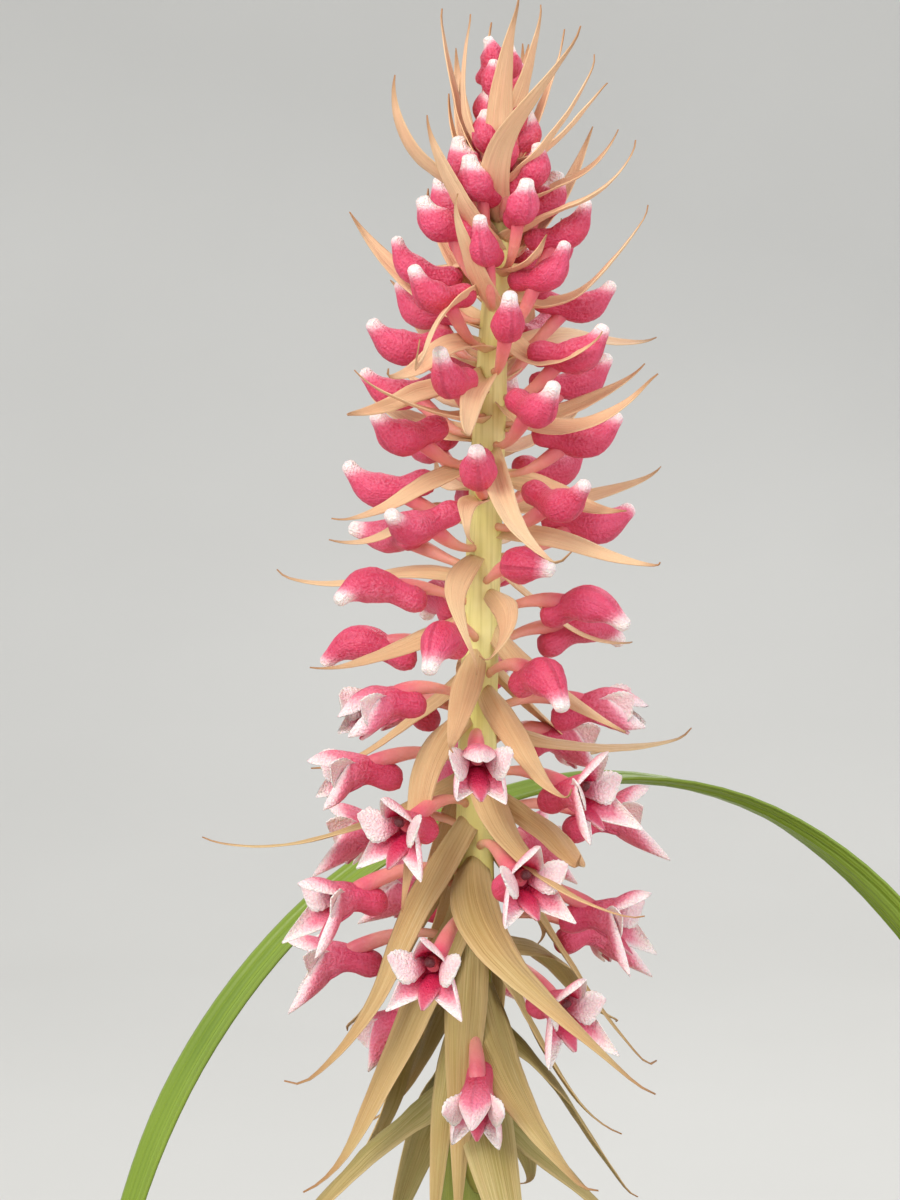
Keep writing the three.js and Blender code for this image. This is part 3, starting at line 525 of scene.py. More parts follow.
def scatter_tree():
    """Flakes over a surface, each turned and tilted its own way, with its own tone."""
    t = geometry_tree(
        "flakes over a surface", ("Surface", "geometry"), ("Kinds", "collection"),
        ("Spacing", "number", 0.005), ("Density", "number", 30000.0), ("Smallest", "number", 0.7),
        ("Largest", "number", 1.3), ("Tilt", "number", 0.4), ("Seed", "count", 3),
    )
    spots = t.add("GeometryNodeDistributePointsOnFaces",
                  {"Mesh": t.given["Surface"], "Distance Min": t.given["Spacing"],
                   "Density Max": t.given["Density"], "Seed": t.given["Seed"]},
                  distribute_method="POISSON").outputs
    lean = t.triple(X=t.given["Tilt"], Y=t.given["Tilt"], Z=math.pi)
    spin = t.add("FunctionNodeRandomValue", {"Min": t.vector("SCALE", lean, -1.0), "Max": lean, "Seed": 5},
                 data_type="FLOAT_VECTOR").outputs[0]
    turned = t.add("FunctionNodeRotateRotation", {"Rotation": spots["Rotation"], "Rotate By": spin},
                   rotation_space="LOCAL").outputs[0]
    size = t.random(t.given["Smallest"], t.given["Largest"], seed=9)
    placed = t.geo("InstanceOnPoints", {"Points": spots["Points"], "Instance": t.kinds(),
                                        "Pick Instance": True, "Rotation": turned, "Scale": size})
    return t.closed(t.stored(placed, "tone", t.random(0.0, 1.0, seed=17), domain="INSTANCE"))


def grown(source, tree, thickness=0.0, **inputs):
    """Runs a geometry tree over an object, gives the blades that it makes a thickness, and returns
    the plain mesh."""
    modifier = source.modifiers.new("growth", "NODES")
    modifier.node_group = tree
    by_name = {item.name: item.identifier for item in tree.interface.items_tree if item.in_out == "INPUT"}
    for name, value in inputs.items():
        modifier[by_name[name.replace("_", " ")]] = value
    if thickness:
        wall = source.modifiers.new("wall", "SOLIDIFY")
        wall.thickness = thickness * MM
        wall.offset = 0.0
    bpy.context.view_layer.update()
    evaluated = source.evaluated_get(bpy.context.evaluated_depsgraph_get())
    mesh = bpy.data.meshes.new_from_object(evaluated)
    made = bpy.data.objects.new(source.name, mesh)
    source.modifiers.clear()
    old = source.data
    bpy.data.objects.remove(source)
    bpy.data.meshes.remove(old)
    bpy.context.scene.collection.objects.link(made)
    mesh.name = made.name
    return made


def store(mesh, label, values, kind="FLOAT"):
    """Gives each point of a mesh a named number or vector."""
    flat = np.asarray(values, np.int32 if kind == "INT" else np.float32).reshape(-1)
    field = "vector" if kind == "FLOAT_VECTOR" else "value"
    mesh.attributes.new(label, kind, "POINT").data.foreach_set(field, flat)


def mesh_object(name, points, faces, numbers=None, vectors=None, edges=(), link=True):
    """A mesh in metres from points in millimetres, with named numbers and vectors per point."""
    mesh = bpy.data.meshes.new(name)
    mesh.from_pydata([tuple(np.asarray(p, float) * MM) for p in points], edges, faces)
    for kind, named in (("FLOAT", numbers), ("FLOAT_VECTOR", vectors)):
        for label, values in (named or {}).items():
            store(mesh, label, values, kind)
    mesh.update()
    made = bpy.data.objects.new(name, mesh)
    if link:
        bpy.context.scene.collection.objects.link(made)
    return made


def paths_object(name, paths):
    """A mesh of open lines. Each path is a list of (point, numbers, vectors)."""
    points, edges, numbers, vectors = [], [], {}, {}
    for path in paths:
        for k, (point, its_numbers, its_vectors) in enumerate(path):
            if k:
                edges.append((len(points) - 1, len(points)))
            points.append(point)
            for label, value in its_numbers.items():
                numbers.setdefault(label, []).append(value)
            for label, value in its_vectors.items():
                vectors.setdefault(label, []).append(tuple(value))
    return mesh_object(name, points, [], numbers, vectors, edges)


# Effects that several finishes share
def effect(name, inputs, outputs):
    tree = bpy.data.node_groups.new(name, "ShaderNodeTree")
    return Tree(tree, inputs, [(label, "number") for label in outputs])


def vein_effect():
    """Fine lines that run along a blade, from its numbers side, way and number."""
    t = effect("lengthwise veins",
               [("Side", "number"), ("Way", "number"), ("Number", "number"), ("Lines", "number", 9.0)],
               ["Lines", "Fine Lines"])
    coarse = t.triple(X=t.times(t.given["Side"], t.given["Lines"]), Y=t.times(t.given["Way"], 2.2),
                      Z=t.times(t.given["Number"], 5.31))
    fine = t.vector("MULTIPLY", coarse, (3.1, 1.6, 1.0))
    for label, seat in (("Lines", coarse), ("Fine Lines", fine)):
        t.put(t.result[label], t.remap(t.noise(seat, 1.0, 1.0), *EVEN))
    return t.tree


def mottle_effect():
    """Soft patches and fine specks over a surface."""
    t = effect("patches and specks",
               [("Place", "vector"), ("Patch Scale", "number", 60.0), ("Speck Scale", "number", 900.0)],
               ["Patches", "Specks"])
    for label, scale, detail in (("Patches", "Patch Scale", 3.0), ("Specks", "Speck Scale", 1.0)):
        t.put(t.result[label], t.remap(t.noise(t.given["Place"], t.given[scale], detail), *EVEN))
    return t.tree


def grain_effect():
    """Wood grain along the first axis of a place in metres, with its pores."""
    t = effect("wood grain", [("Place", "vector"), ("Tone", "number")], ["Grain", "Pores"])
    drift = t.triple(X=t.times(t.given["Tone"], 3.0), Y=t.times(t.given["Tone"], 7.0))
    moved = t.vector("ADD", t.given["Place"], drift)
    bend = t.stretched_noise(moved, (14.0, 40.0, 40.0))
    bent = t.vector("ADD", t.vector("MULTIPLY", moved, (6.0, 260.0, 260.0)), t.triple(Y=t.times(bend, 3.0)))
    t.put(t.result["Grain"], t.remap(t.noise(bent, 1.0, 3.0), *EVEN))
    t.put(t.result["Pores"], t.remap(t.stretched_noise(moved, (120.0, 2200.0, 2200.0), 1.0), 0.35, 0.6))
    return t.tree


VEINS = vein_effect()
MOTTLE = mottle_effect()
GRAIN = grain_effect()


# Finishes. Each returns a colour, a roughness and the height of its relief
def finish(name, build, bump=0.3, depth=0.0002, **plain):
    """A material from one of the finishes below; plain holds its other values."""
    material = bpy.data.materials.new(name)
    material.use_nodes = True
    material.node_tree.nodes.clear()
    t = Tree(material.node_tree)
    shader = t.add("ShaderNodeBsdfPrincipled")
    t.add("ShaderNodeOutputMaterial", {"Surface": shader.outputs[0]})
    colour, roughness, height = build(t)
    looks = {"Base Color": colour, "Roughness": roughness, **plain}
    if height is not None:
        relief = t.add("ShaderNodeBump", {"Strength": bump, "Distance": depth, "Height": height})
        looks["Normal"] = relief.outputs[0]
    for key, value in looks.items():
        t.put(shader.inputs[key.replace("_", " ")], value)
    return material


def petal_finish(t):
    """Deep pink, paler by its number pale, with crimson and salmon parts of the mouth, and painted shade, near
    black, by its number dark at the column's end.
    """
    lines, fine = t.veins(7.0)
    patches, specks = t.mottle(160.0, 2400.0)
    youth = t.remap(t.number("age"), 0.86, 1.02, 0.0, 0.2)
    pale = t.plus(t.number("pale"), t.times(patches, youth))
    grainy = t.plus(pale, t.times(t.math("SUBTRACT", specks, 0.5), 0.13))
    colour = t.layered(
        "C81F45", (patches, "E3446E"),
        (t.times(lines, 0.35), "B0173C"), (t.times(fine, 0.15), "EE7094"), (t.times(specks, 0.22), "F083A0"),
        (t.remap(grainy, 0.05, 0.7), "F79FB2"), (t.remap(grainy, 0.38, 0.95), "FDEDE8"),
        # the number dark lays painted shade, near black: the shadow under the column's tip
        (t.number("crimson"), "D02350"), (t.number("salmon"), "EE8B85"), (t.number("dark"), "3A1418"),
    )
    height = t.plus(t.times(fine, 0.6), t.times(specks, t.plus(0.8, pale)))
    return colour, t.roughness(specks, 0.42, 0.6), height


def stalk_finish(t):
    """Salmon pink ovary, paler where the stalk leaves the spike and brown at its very foot."""
    patches, specks = t.mottle(260.0, 2200.0)
    base = t.ramp(t.number("way"), (0.0, "B4703E"), (0.1, "E2AE86"), (0.3, "EEA492"), (0.56, "E88C84"),
                  (0.78, "DC5670"), (1.0, "D4305A"))
    return t.mix(t.times(patches, 0.3), base, "F8BCA8"), t.roughness(specks, 0.38, 0.55), specks


def stem_finish(t):
    """Pale yellow among the buds, olive lower down, with faint streaks."""
    patches, specks = t.mottle(120.0, 1500.0)
    place = t.place()
    streaks = t.stretched_noise(place, (1600.0, 1600.0, 40.0))
    level = t.add("ShaderNodeSeparateXYZ", {"Vector": place}).outputs["Z"]
    colour = t.layered(
        t.mix(patches, "A39A38", "C2B455"),
        (t.remap(level, 0.318, 0.35), t.mix(patches, "E4E082", "F6F0A8")),
        (t.remap(streaks, 0.5, 0.8, 0.0, 0.45), "B4B058"),
    )
    return colour, t.roughness(specks, 0.42, 0.6), streaks


def bract_finish(t):
    """Dry paper: pinkish peach at the top of the raceme, straw and then olive lower down."""
    lines, fine = t.veins(8.0)
    patches, specks = t.mottle(70.0, 1800.0)
    side, way, age = t.number("side"), t.number("way"), t.number("age")
    base = t.ramp(age, (0.0, "848238"), (0.14, "A8944E"), (0.32, "BE9A5E"), (0.48, "DFB684"),
                  (0.66, "F3CFA4"), (1.0, "F8C8A4"))
    green = t.times(patches, t.remap(age, 0.1, 0.45, 0.6, 0.0))
    rosy = t.times(patches, t.remap(way, 0.1, 0.7, 0.0, 0.5))
    edge = t.math("POWER", t.math("ABSOLUTE", side), 5.0)
    colour = t.layered(
        base,
        (t.times(lines, t.remap(age, 0.0, 0.6, 0.5, 0.25)), "9C7642"),
        (t.times(fine, t.remap(age, 0.3, 0.7, 0.4, 0.45)), "EED9A4"),
        (t.times(green, t.remap(way, 0.3, 0.7, 1.0, 0.2)), "8C8C40"),
        (rosy, t.mix(t.remap(age, 0.3, 0.6), "C68A58", "EBA880")),
        (t.times(edge, 0.35), "F0CF9C"),
        (t.remap(way, 0.82, 1.0), "B07C50"),
        (t.remap(way, 0.14, 0.0, 0.0, 0.5), "DCC890"),
    )
    return colour, t.roughness(specks, 0.5, 0.7), t.plus(lines, t.times(fine, 0.6))


def leaf_finish(t):
    """Yellowish green, with fine ribs, a paler keel, a pale foot and a brown tip."""
    lines, fine = t.veins(5.0)
    patches, specks = t.mottle(25.0, 1600.0)
    way, side = t.number("way"), t.number("side")
    colour = t.layered(
        "6B8519", (patches, "88A02C"), (t.times(fine, 0.35), "A6BC44"), (t.times(lines, 0.3), "526C12"),
        (t.remap(t.math("ABSOLUTE", side), 0.1, 0.0, 0.0, 0.6), "93AE48"),
        (t.remap(way, 0.94, 1.0, 0.0, 0.8), "9C7A3E"), (t.remap(way, 0.06, 0.0, 0.0, 0.6), "B4BC78"),
    )
    return colour, t.roughness(specks, 0.34, 0.48), t.plus(lines, fine)


def sheath_finish(t):
    """Dull green with paler ribs, turning to straw at the rim."""
    lines, fine = t.veins(26.0)
    patches, specks = t.mottle(90.0, 1800.0)
    base = t.ramp(t.number("way"), (0.0, "707C26"), (0.5, "7C8A28"), (0.88, "868A34"), (1.0, "A0844A"))
    colour = t.layered(base, (t.times(lines, 0.3), "AEB05A"), (t.times(patches, 0.2), "8E7840"))
    return colour, t.roughness(specks, 0.5, 0.68), t.plus(lines, fine)


def bulb_finish(t):
    """Mottled green with paler streaks from foot to crown."""
    patches, specks = t.mottle(45.0, 1300.0)
    streaks = t.stretched_noise(t.place(), (420.0, 420.0, 22.0))
    colour = t.layered("5F7A2C", (patches, "93A452"), (t.remap(streaks, 0.5, 0.75, 0.0, 0.6), "B4B56A"))
    return colour, t.roughness(specks, 0.36, 0.55), streaks


def husk_finish(t):
    """Dry brown skin with dark ribs."""
    lines, fine = t.veins(40.0)
    patches, specks = t.mottle(60.0, 1500.0)
    colour = t.layered("8A6A42", (patches, "C0A070"), (t.times(lines, 0.6), "5E4328"))
    return colour, t.roughness(specks, 0.68, 0.86), t.plus(lines, fine)


def bark_finish(t):
    """Shredded bark: brown flakes with paler worn faces; tone changes from flake to flake."""
    patches, specks = t.mottle(130.0, 1100.0)
    base = t.ramp(t.number("tone"), (0.0, "3A2416"), (0.35, "5E3C26"), (0.7, "7E5636"), (1.0, "A47C50"))
    dark = t.remap(specks, 0.6, 0.9, 0.0, 0.5)
    colour = t.layered(base, (t.times(patches, 0.3), "7A5A3E"), (dark, "1E130C"))
    return colour, t.roughness(patches, 0.8, 0.95), t.plus(patches, specks)


def slat_finish(t):
    """Oiled reddish hardwood with pores, greyed in patches."""
    tone = t.number("tone")
    place = t.add("ShaderNodeAttribute", attribute_name="grain_place").outputs["Vector"]
    grain, pores = t.group(GRAIN, {"Place": place, "Tone": tone}, "Grain", "Pores")
    patches, _ = t.mottle(18.0, 900.0)
    colour = t.layered(
        "7A4A2C", (grain, "B07C4E"), (t.times(tone, 0.5), "8C5F3C"),
        (t.remap(pores, 0.55, 1.0, 0.0, 0.6), "4A2A18"), (t.remap(patches, 0.55, 1.0, 0.0, 0.45), "A8957C"),
    )
    return colour, t.roughness(grain, 0.72, 0.58), t.math("SUBTRACT", grain, t.times(pores, 0.8))


def wire_finish(t):
    patches, specks = t.mottle(300.0, 3000.0)
    return t.mix(patches, "8E8C88", "B8B6B0"), t.roughness(specks, 0.32, 0.5), specks


def floor_finish(t):
    patches, _ = t.mottle(3.0, 40.0)
    return t.mix(patches, "CFCDC8", "D3D1CC"), 0.9, None


FLESHY = dict(Subsurface_Weight=0.12, Subsurface_Scale=0.0015)
PETAL = finish("petal", petal_finish, bump=0.6, depth=0.00024, **FLESHY)
STALK = finish("ovary and stalk", stalk_finish, bump=0.25, **FLESHY)
STEM = finish("spike stem", stem_finish, bump=0.4)
BRACT = finish("papery bract", bract_finish, bump=0.55, depth=0.00015)
LEAF = finish("leaf", leaf_finish, bump=0.35, Coat_Weight=0.15, Coat_Roughness=0.3)
SHEATH = finish("stem sheath", sheath_finish, bump=0.5)
BULB = finish("pseudobulb", bulb_finish, bump=0.4, Coat_Weight=0.1, Coat_Roughness=0.35)
HUSK = finish("dry husk", husk_finish, bump=0.7, depth=0.0004)
BARK = finish("bark", bark_finish, bump=0.9, depth=0.0006)
SLAT = finish("slat wood", slat_finish, bump=0.5, depth=0.0003)
WIRE = finish("rod steel", wire_finish, bump=0.2, Metallic=1.0)
FLOOR = finish("pale floor", floor_finish)


# Turned and lofted shapes
def smooth_rows(rows, count, crowd=0.0):
    """count rows of numbers on a smooth line through the given rows, crowded towards its ends."""
    rows = np.asarray(rows, float)
    gaps = np.maximum(np.linalg.norm(np.diff(rows[:, :2], axis=0), axis=1), 1e-6)
    place = np.concatenate([[0], np.cumsum(gaps)])
    slopes = np.gradient(rows, place, axis=0)
    out = []
    even = np.linspace(0, 1, count)
    for p in place[-1] * lerp(even, (1 - np.cos(math.pi * even)) / 2, crowd):
        k = min(len(rows) - 2, int(np.searchsorted(place, p, side="right")) - 1)
        h = place[k + 1] - place[k]
        t = (p - place[k]) / h
        a, b = rows[k], rows[k + 1]
        value = ((2 * t**3 - 3 * t**2 + 1) * a + (t**3 - 2 * t**2 + t) * h * slopes[k]
                 + (3 * t**2 - 2 * t**3) * b + (t**3 - t**2) * h * slopes[k + 1])
        out.append(value)
    return np.array(out)


def loft(rings, looped=False):
    """Faces between rings of points, of one size each; a ring of one point closes an end."""
    points, faces, starts = [], [], []
    for ring in rings:
        starts.append(len(points))
        points.extend(ring)
    for a in range(len(rings) if looped else len(rings) - 1):
        b = (a + 1) % len(rings)
        na, nb = len(rings[a]), len(rings[b])
        for k in range(max(na, nb)):
            corners = [starts[a] + k % na, starts[a] + (k + 1) % na]
            corners += [starts[b] + (k + 1) % nb, starts[b] + k % nb]
            faces.append([c for j, c in enumerate(corners) if c != corners[j - 1]])
    return points, faces


def round_and_along(rings):
    """For each point of rings, its place round the body from -1 to 1 and along it from 0 to 1."""
    side = [2 * j / len(ring) - 1 for ring in rings for j in range(len(ring))]
    way = [k / (len(rings) - 1) for k, ring in enumerate(rings) for _ in ring]
    return {"side": side, "way": way}


class Shape:
    """Closed shells gathered into one mesh, with a few numbers at each point."""

    def __init__(self, labels=()):
        self.points, self.faces = [], []
        self.numbers = {label: [] for label in labels}

    def add(self, points, faces, **numbers):
        first = len(self.points)
        self.points.extend(points)
        self.faces.extend([[first + c for c in face] for face in faces])
        for label, held in self.numbers.items():
            value = numbers.get(label, 0.0)
            held.extend(value if hasattr(value, "__len__") else [value] * len(points))

    def made(self, name, material=None, smooth=True, link=True):
        piece = mesh_object(name, self.points, self.faces, self.numbers, link=link)
        shell = bmesh.new()
        shell.from_mesh(piece.data)
        bmesh.ops.recalc_face_normals(shell, faces=shell.faces)
        shell.to_mesh(piece.data)
        shell.free()
        for face in piece.data.polygons:
            face.use_smooth = smooth
        if material:
            piece.data.materials.append(material)
        return piece


POINT_RADIUS = 0.02  # a ring of a flower's body narrower than this is one point


def body_ring(row, ahead, sides, swell=None):
    """A ring round a flower's body. row is its place forward and up, and its radius up and aside."""
    f, h, r_up, r_side = row
    if max(r_up, r_side) < POINT_RADIUS:
        return [(f, 0.0, h)]
    a_f, a_h = ahead
    ring = []
    for k in range(sides):
        a = 2 * math.pi * k / sides
        grow = swell(a) if swell else 1.0
        c, s = math.cos(a) * r_up * grow, math.sin(a) * r_side * grow
        ring.append((f - a_h * c, s, h + a_f * c))
    return ring


def aheads(rows):
    """The direction of the line through the rows, at each of them."""
    way = np.gradient(rows[:, :2], axis=0)
    return way / np.maximum(np.linalg.norm(way, axis=1), 1e-9)[:, None]


SEAMS = (1.15, -1.15, math.pi)  # where two sepals meet, at the sides and underneath
SEAM_WIDTH = 0.16


def seam(a, depth):
    """How a shallow crease between two sepals draws a flower's body in at direction a."""
    nearest = min(abs((a - c + math.pi) % (2 * math.pi) - math.pi) for c in SEAMS)
    return 1 - depth * math.exp(-((nearest / SEAM_WIDTH) ** 2))


def unevenness(a, f, kind):
    """Small lumps of a fleshy surface at direction a and place f."""
    return 0.018 * math.sin(5 * a + 0.9 * f + kind) + 0.014 * math.sin(3 * a - 2.1 * f + 2 * kind)


# Stations of the closed bud and of the open flower's tube: forward, up, radius up, radius aside
BUD_ROWS = [
    (-5.6, -4.9, 0, 0), (-5.35, -4.85, 1.1, 1.1), (-4.6, -4.6, 1.95, 1.95), (-3.4, -4.15, 2.3, 2.3),
    (-2.1, -3.4, 2.15, 2.2), (-0.7, -2.5, 2.2, 2.25), (1.0, -1.7, 2.75, 2.7), (2.8, -1.2, 3.1, 3.05),
    (4.6, -1.15, 2.95, 2.9), (6.0, -1.5, 2.45, 2.45), (7.2, -2.05, 1.85, 1.9), (8.3, -2.7, 1.45, 1.5),
    (9.2, -3.3, 1.25, 1.3), (9.75, -3.65, 0.85, 0.9), (10.0, -3.8, 0, 0),
]
TUBE_ROWS = [
    (-5.6, -4.9, 0, 0), (-5.3, -4.85, 1.1, 1.1), (-4.4, -4.55, 2.0, 1.95), (-3.2, -4.05, 2.3, 2.25),
    (-1.8, -3.35, 2.15, 2.15), (-0.5, -2.8, 2.2, 2.2), (0.8, -2.5, 2.5, 2.45), (2.0, -2.38, 2.9, 2.8),
    (3.0, -2.35, 3.15, 2.95),
]
SEPAL_TIPS = [(9.0, 0.0, 2.3), (8.6, 6.4, -8.8), (8.6, -6.4, -8.8)]
LOWER_SEPAL = 2 * math.pi * 0.345  # direction of a lower sepal from straight up
SEPAL_MIDDLES = (0.0, LOWER_SEPAL, -LOWER_SEPAL)
BUD_POINT = (10.0, 0.0, -3.7)
# dark is painted shade at the column's end
FLOWER_NUMBERS = ("pale", "crimson", "salmon", "dark", "side", "way", "number")
BLADE_NUMBERS = ("side", "way", "number")
KIND_STEP = 3.3  # between the veins of one kind of flower and of the next
BUD_BACK = 5.6  # from where a bud joins its stalk back to its heel
BUD_SPAN = 15.7  # from its heel to its tip
YOUNG_BUD = (0.92, 0.8, 1.22, 1.22)  # a young bud's length, height and radii beside an older one's
YOUNG_WHITE = 1.7  # how much further back its white begins
BUD_STATIONS = 28
BUD_SIDES = 24
BUD_BEND = (-1.2, 0.5)
BUD_FULLNESS = (0.94, 1.05)
BUD_WHITE_FROM = (5.9, 7.0)


def bud(kind, young=False):
    """A closed bud: a boot with a rounded chin and a curved finger of a tip, white and grainy.
    A young one is stubbier, and white further down."""
    rows = smooth_rows(BUD_ROWS, BUD_STATIONS, crowd=0.6)
    if young:
        rows *= YOUNG_BUD
    bend = lerp(*BUD_BEND, draw(kind, 21))
    rows[:, 1] += bend * ((rows[:, 0] + BUD_BACK) / BUD_SPAN) ** 3
    rows[:, 2:] *= lerp(*BUD_FULLNESS, draw(kind, 22))
    white_from = lerp(*BUD_WHITE_FROM, draw(kind, 23)) - YOUNG_WHITE * young
    rings, pale = [], []
    for row, ahead in zip(rows, aheads(rows)):
        depth = 0.08 * smoothstep((row[0] + 2) / 6) * smoothstep((9.5 - row[0]) / 3)
        ring = body_ring(row, ahead, BUD_SIDES, lambda a: seam(a, depth) + unevenness(a, row[0], kind))
        rings.append(ring)
        for _, _, h in ring:
            inner_side = (row[1] - h) / 3
            tip = smoothstep((row[0] - white_from + 1.2 * inner_side) / 3.4)
            pale.append(0.22 * max(0.0, inner_side) + tip)
    shape = Shape(FLOWER_NUMBERS)
    shape.add(*loft(rings), pale=pale, number=kind * KIND_STEP, **round_and_along(rings))
    return shape


def shell_blade(path, across, halves, thickness, columns=6, cup=0.0):
    """A thin closed blade: rows of points over its upper and then its lower face."""
    path, across = np.asarray(path, float), np.asarray(across, float)
    way = np.gradient(path, axis=0)
    rings, place = [], []
    for k, (centre, side, half) in enumerate(zip(path, across, halves)):
        side = side / np.linalg.norm(side)
        facing = np.cross(side, way[k])
        facing /= max(1e-9, np.linalg.norm(facing))
        us = np.linspace(-1, 1, columns)
        upper = [centre + side * half * u + facing * (cup * half * u * u + thickness / 2) for u in us]
        lower = [centre + side * half * u + facing * (cup * half * u * u - thickness / 2) for u in us[::-1]]
        rings.append([tuple(p) for p in upper + lower])
        place.extend([k / (len(path) - 1)] * (2 * columns))
    first = tuple(path[0] - way[0] * 0.05)
    last = tuple(path[-1] + way[-1] * 0.05)
    points, faces = loft([[first]] + rings + [[last]])
    us = list(np.linspace(-1, 1, columns))
    side = [0.0] + (us + us[::-1]) * len(path) + [0.0]
    return points, faces, {"way": [0.0] + place + [1.0], "side": side}


def bent_line(stations, count):
    """A smooth line through evenly taken stations of three numbers."""
    taken = np.arange(len(stations))
    return smooth_rows(np.column_stack([taken, 0 * taken, np.asarray(stations, float)]), count)[:, 2:]


def sepal_share(a):
    """The sepal whose sector holds direction a, and how far the direction is from its middle."""
    offs = [(a - middle + math.pi) % (2 * math.pi) - math.pi for middle in SEPAL_MIDDLES]
    k = min(range(len(offs)), key=lambda n: abs(offs[n]))
    return k, max(-1.0, min(1.0, offs[k] / (math.pi / 3)))


# An open flower's tube and sepals
MOUTH_SIDES = 42
SEPAL_STEPS = 8
SEPAL_WALL = 0.38
SEPAL_RIM = 0.35  # thickness at a sepal's rim, as a share of its wall
THROAT_END = (0.2, 0.0, -2.9)


def sepal_tips(kind, spread, raised):
    """Where the three sepals end: together, as in a bud, or spread, each a little its own way."""
    droop = wander(kind, 39, 1.6)
    tips = []
    for k, tip in enumerate(SEPAL_TIPS):
        stray = [wander(kind, salt + k, most) for salt, most in ((30, 0.5), (33, 0.6), (36, 0.5))]
        target = np.array(tip) + stray
        target += (droop, 0, 0) if k else (-0.4 * raised, 0, raised)
        tips.append(lerp(np.array(BUD_POINT), target, spread))
    return tips


def sepal_rings(mouth, centre, tips):
    """Rings from the mouth of the tube out to the tips of its three sepals."""
    def on_mouth(a, f, aside, up):
        return centre + (f, math.sin(a) * aside, math.cos(a) * up)

    rings = []
    for r in range(1, SEPAL_STEPS + 1):
        t = r / SEPAL_STEPS
        ring = []
        for j in range(MOUTH_SIDES):
            k, x = sepal_share(2 * math.pi * j / MOUTH_SIDES)
            e = 1 - abs(x) ** 1.5
            middle = on_mouth(SEPAL_MIDDLES[k], 0, 3.0, 3.2)
            corner = on_mouth(SEPAL_MIDDLES[k] + math.copysign(math.pi / 3, x), 0.4, 3.05, 3.2)
            end = corner * (1 - e) + tips[k] * e + (corner - middle) * 0.17 * (4 * e * (1 - e)) ** 0.6
            radial = (mouth[j] - centre) / np.linalg.norm(mouth[j] - centre)
            camber = (0.9 * math.sin(math.pi * t) - 0.35 * t * t * math.sin(math.pi * abs(x))) * e
            ring.append(tuple(mouth[j] * (1 - t) + end * t + radial * camber))
        rings.append(ring)
    return rings


def inner_rings(outer_rings, centre):
    """The inner side of the sepals, from their tips back to the mouth."""
    rings = []
    for r in range(SEPAL_STEPS, 0, -1):
        thinned = SEPAL_RIM if r == SEPAL_STEPS else 1.0
        ring = []
        for point in outer_rings[r - 1]:
            pull = centre + (1.5 + 6.0 * r / SEPAL_STEPS, 0, 0) - np.array(point)
            ring.append(tuple(point + pull / np.linalg.norm(pull) * SEPAL_WALL * thinned))
        rings.append(ring)
    return rings


def sepal_tones(ring, tube_rings, f, edge):
    """How pale and how crimson the shell is in one of its rings, f forward; edge is 1 at a sepal's rim."""
    if ring < tube_rings:
        return 0.22 * smoothstep((f + 1.5) / 4.5), 0.0
    if ring < tube_rings + SEPAL_STEPS:
        t = (ring - tube_rings + 1) / SEPAL_STEPS
        return min(1.0, 0.25 + 0.6 * smoothstep((t - 0.3) / 0.7) * (1 - edge) + 0.65 * t * edge), 0.0
    if ring < tube_rings + 2 * SEPAL_STEPS:
        t = (tube_rings + 2 * SEPAL_STEPS - ring) / SEPAL_STEPS
        pale = min(1.0, 0.3 + 0.6 * smoothstep((t - 0.2) / 0.6) + 0.5 * t * edge)
        return pale, 0.6 * smoothstep((0.3 - t) / 0.3)
    return 0.1, 1.0


def add_sepals(shape, kind, spread, raised):
    """The tube, which parts into three long pointed sepals, with its inner side and its throat."""
    rows = smooth_rows(TUBE_ROWS, count=14, crowd=0.4)
    stations = list(zip(rows, aheads(rows)))
    tube = []
    for row, ahead in stations:
        depth = 0.04 * smoothstep((row[0] + 2) / 4)
        swell = lambda a: seam(a, depth) + unevenness(a, row[0], kind)
        tube.append(body_ring(row, ahead, MOUTH_SIDES, swell))
    centre = np.array((rows[-1][0], 0.0, rows[-1][1]))
    sepals = sepal_rings(np.array(tube[-1]), centre, sepal_tips(kind, spread, raised))
    throat = [body_ring((f, h, up - SEPAL_WALL, aside - SEPAL_WALL), ahead, MOUTH_SIDES)
              for (f, h, up, aside), ahead in stations[:-6:-2]]
    rings = tube + sepals + inner_rings(sepals, centre) + throat + [[THROAT_END]]
    tones = []
    for k, ring in enumerate(rings):
        for j, (f, _, _) in enumerate(ring):
            edge = abs(sepal_share(2 * math.pi * j / MOUTH_SIDES)[1]) if len(ring) > 1 else 0
            tones.append(sepal_tones(k, len(tube), f, edge))
    pale, crimson = zip(*tones)
    shape.add(*loft(rings), pale=pale, crimson=crimson, number=kind * KIND_STEP, **round_and_along(rings))


PETAL_STATIONS = 17
PETAL_HALF = [(0, 1.1), (0.2, 1.6), (0.4, 2.3), (0.58, 2.7), (0.72, 2.4), (0.85, 1.6), (0.94, 0.85), (1, 0.2)]
RUFFLE = 0.09  # how far the petal's rim goes in and out
RUFFLED_FROM = 6  # station of a petal
LIP_HALVES = (1.4, 1.75, 1.95, 2.0, 1.9, 1.75, 1.6, 1.4, 1.15, 0.75, 0.25)
COLUMN_ROWS = [(0.3, -2.0, 0, 0), (0.6, -1.9, 0.7, 0.7), (1.8, -1.4, 0.85, 0.9), (2.9, -1.2, 0.82, 0.85),
               (3.6, -1.4, 0.62, 0.68), (3.85, -1.55, 0, 0)]


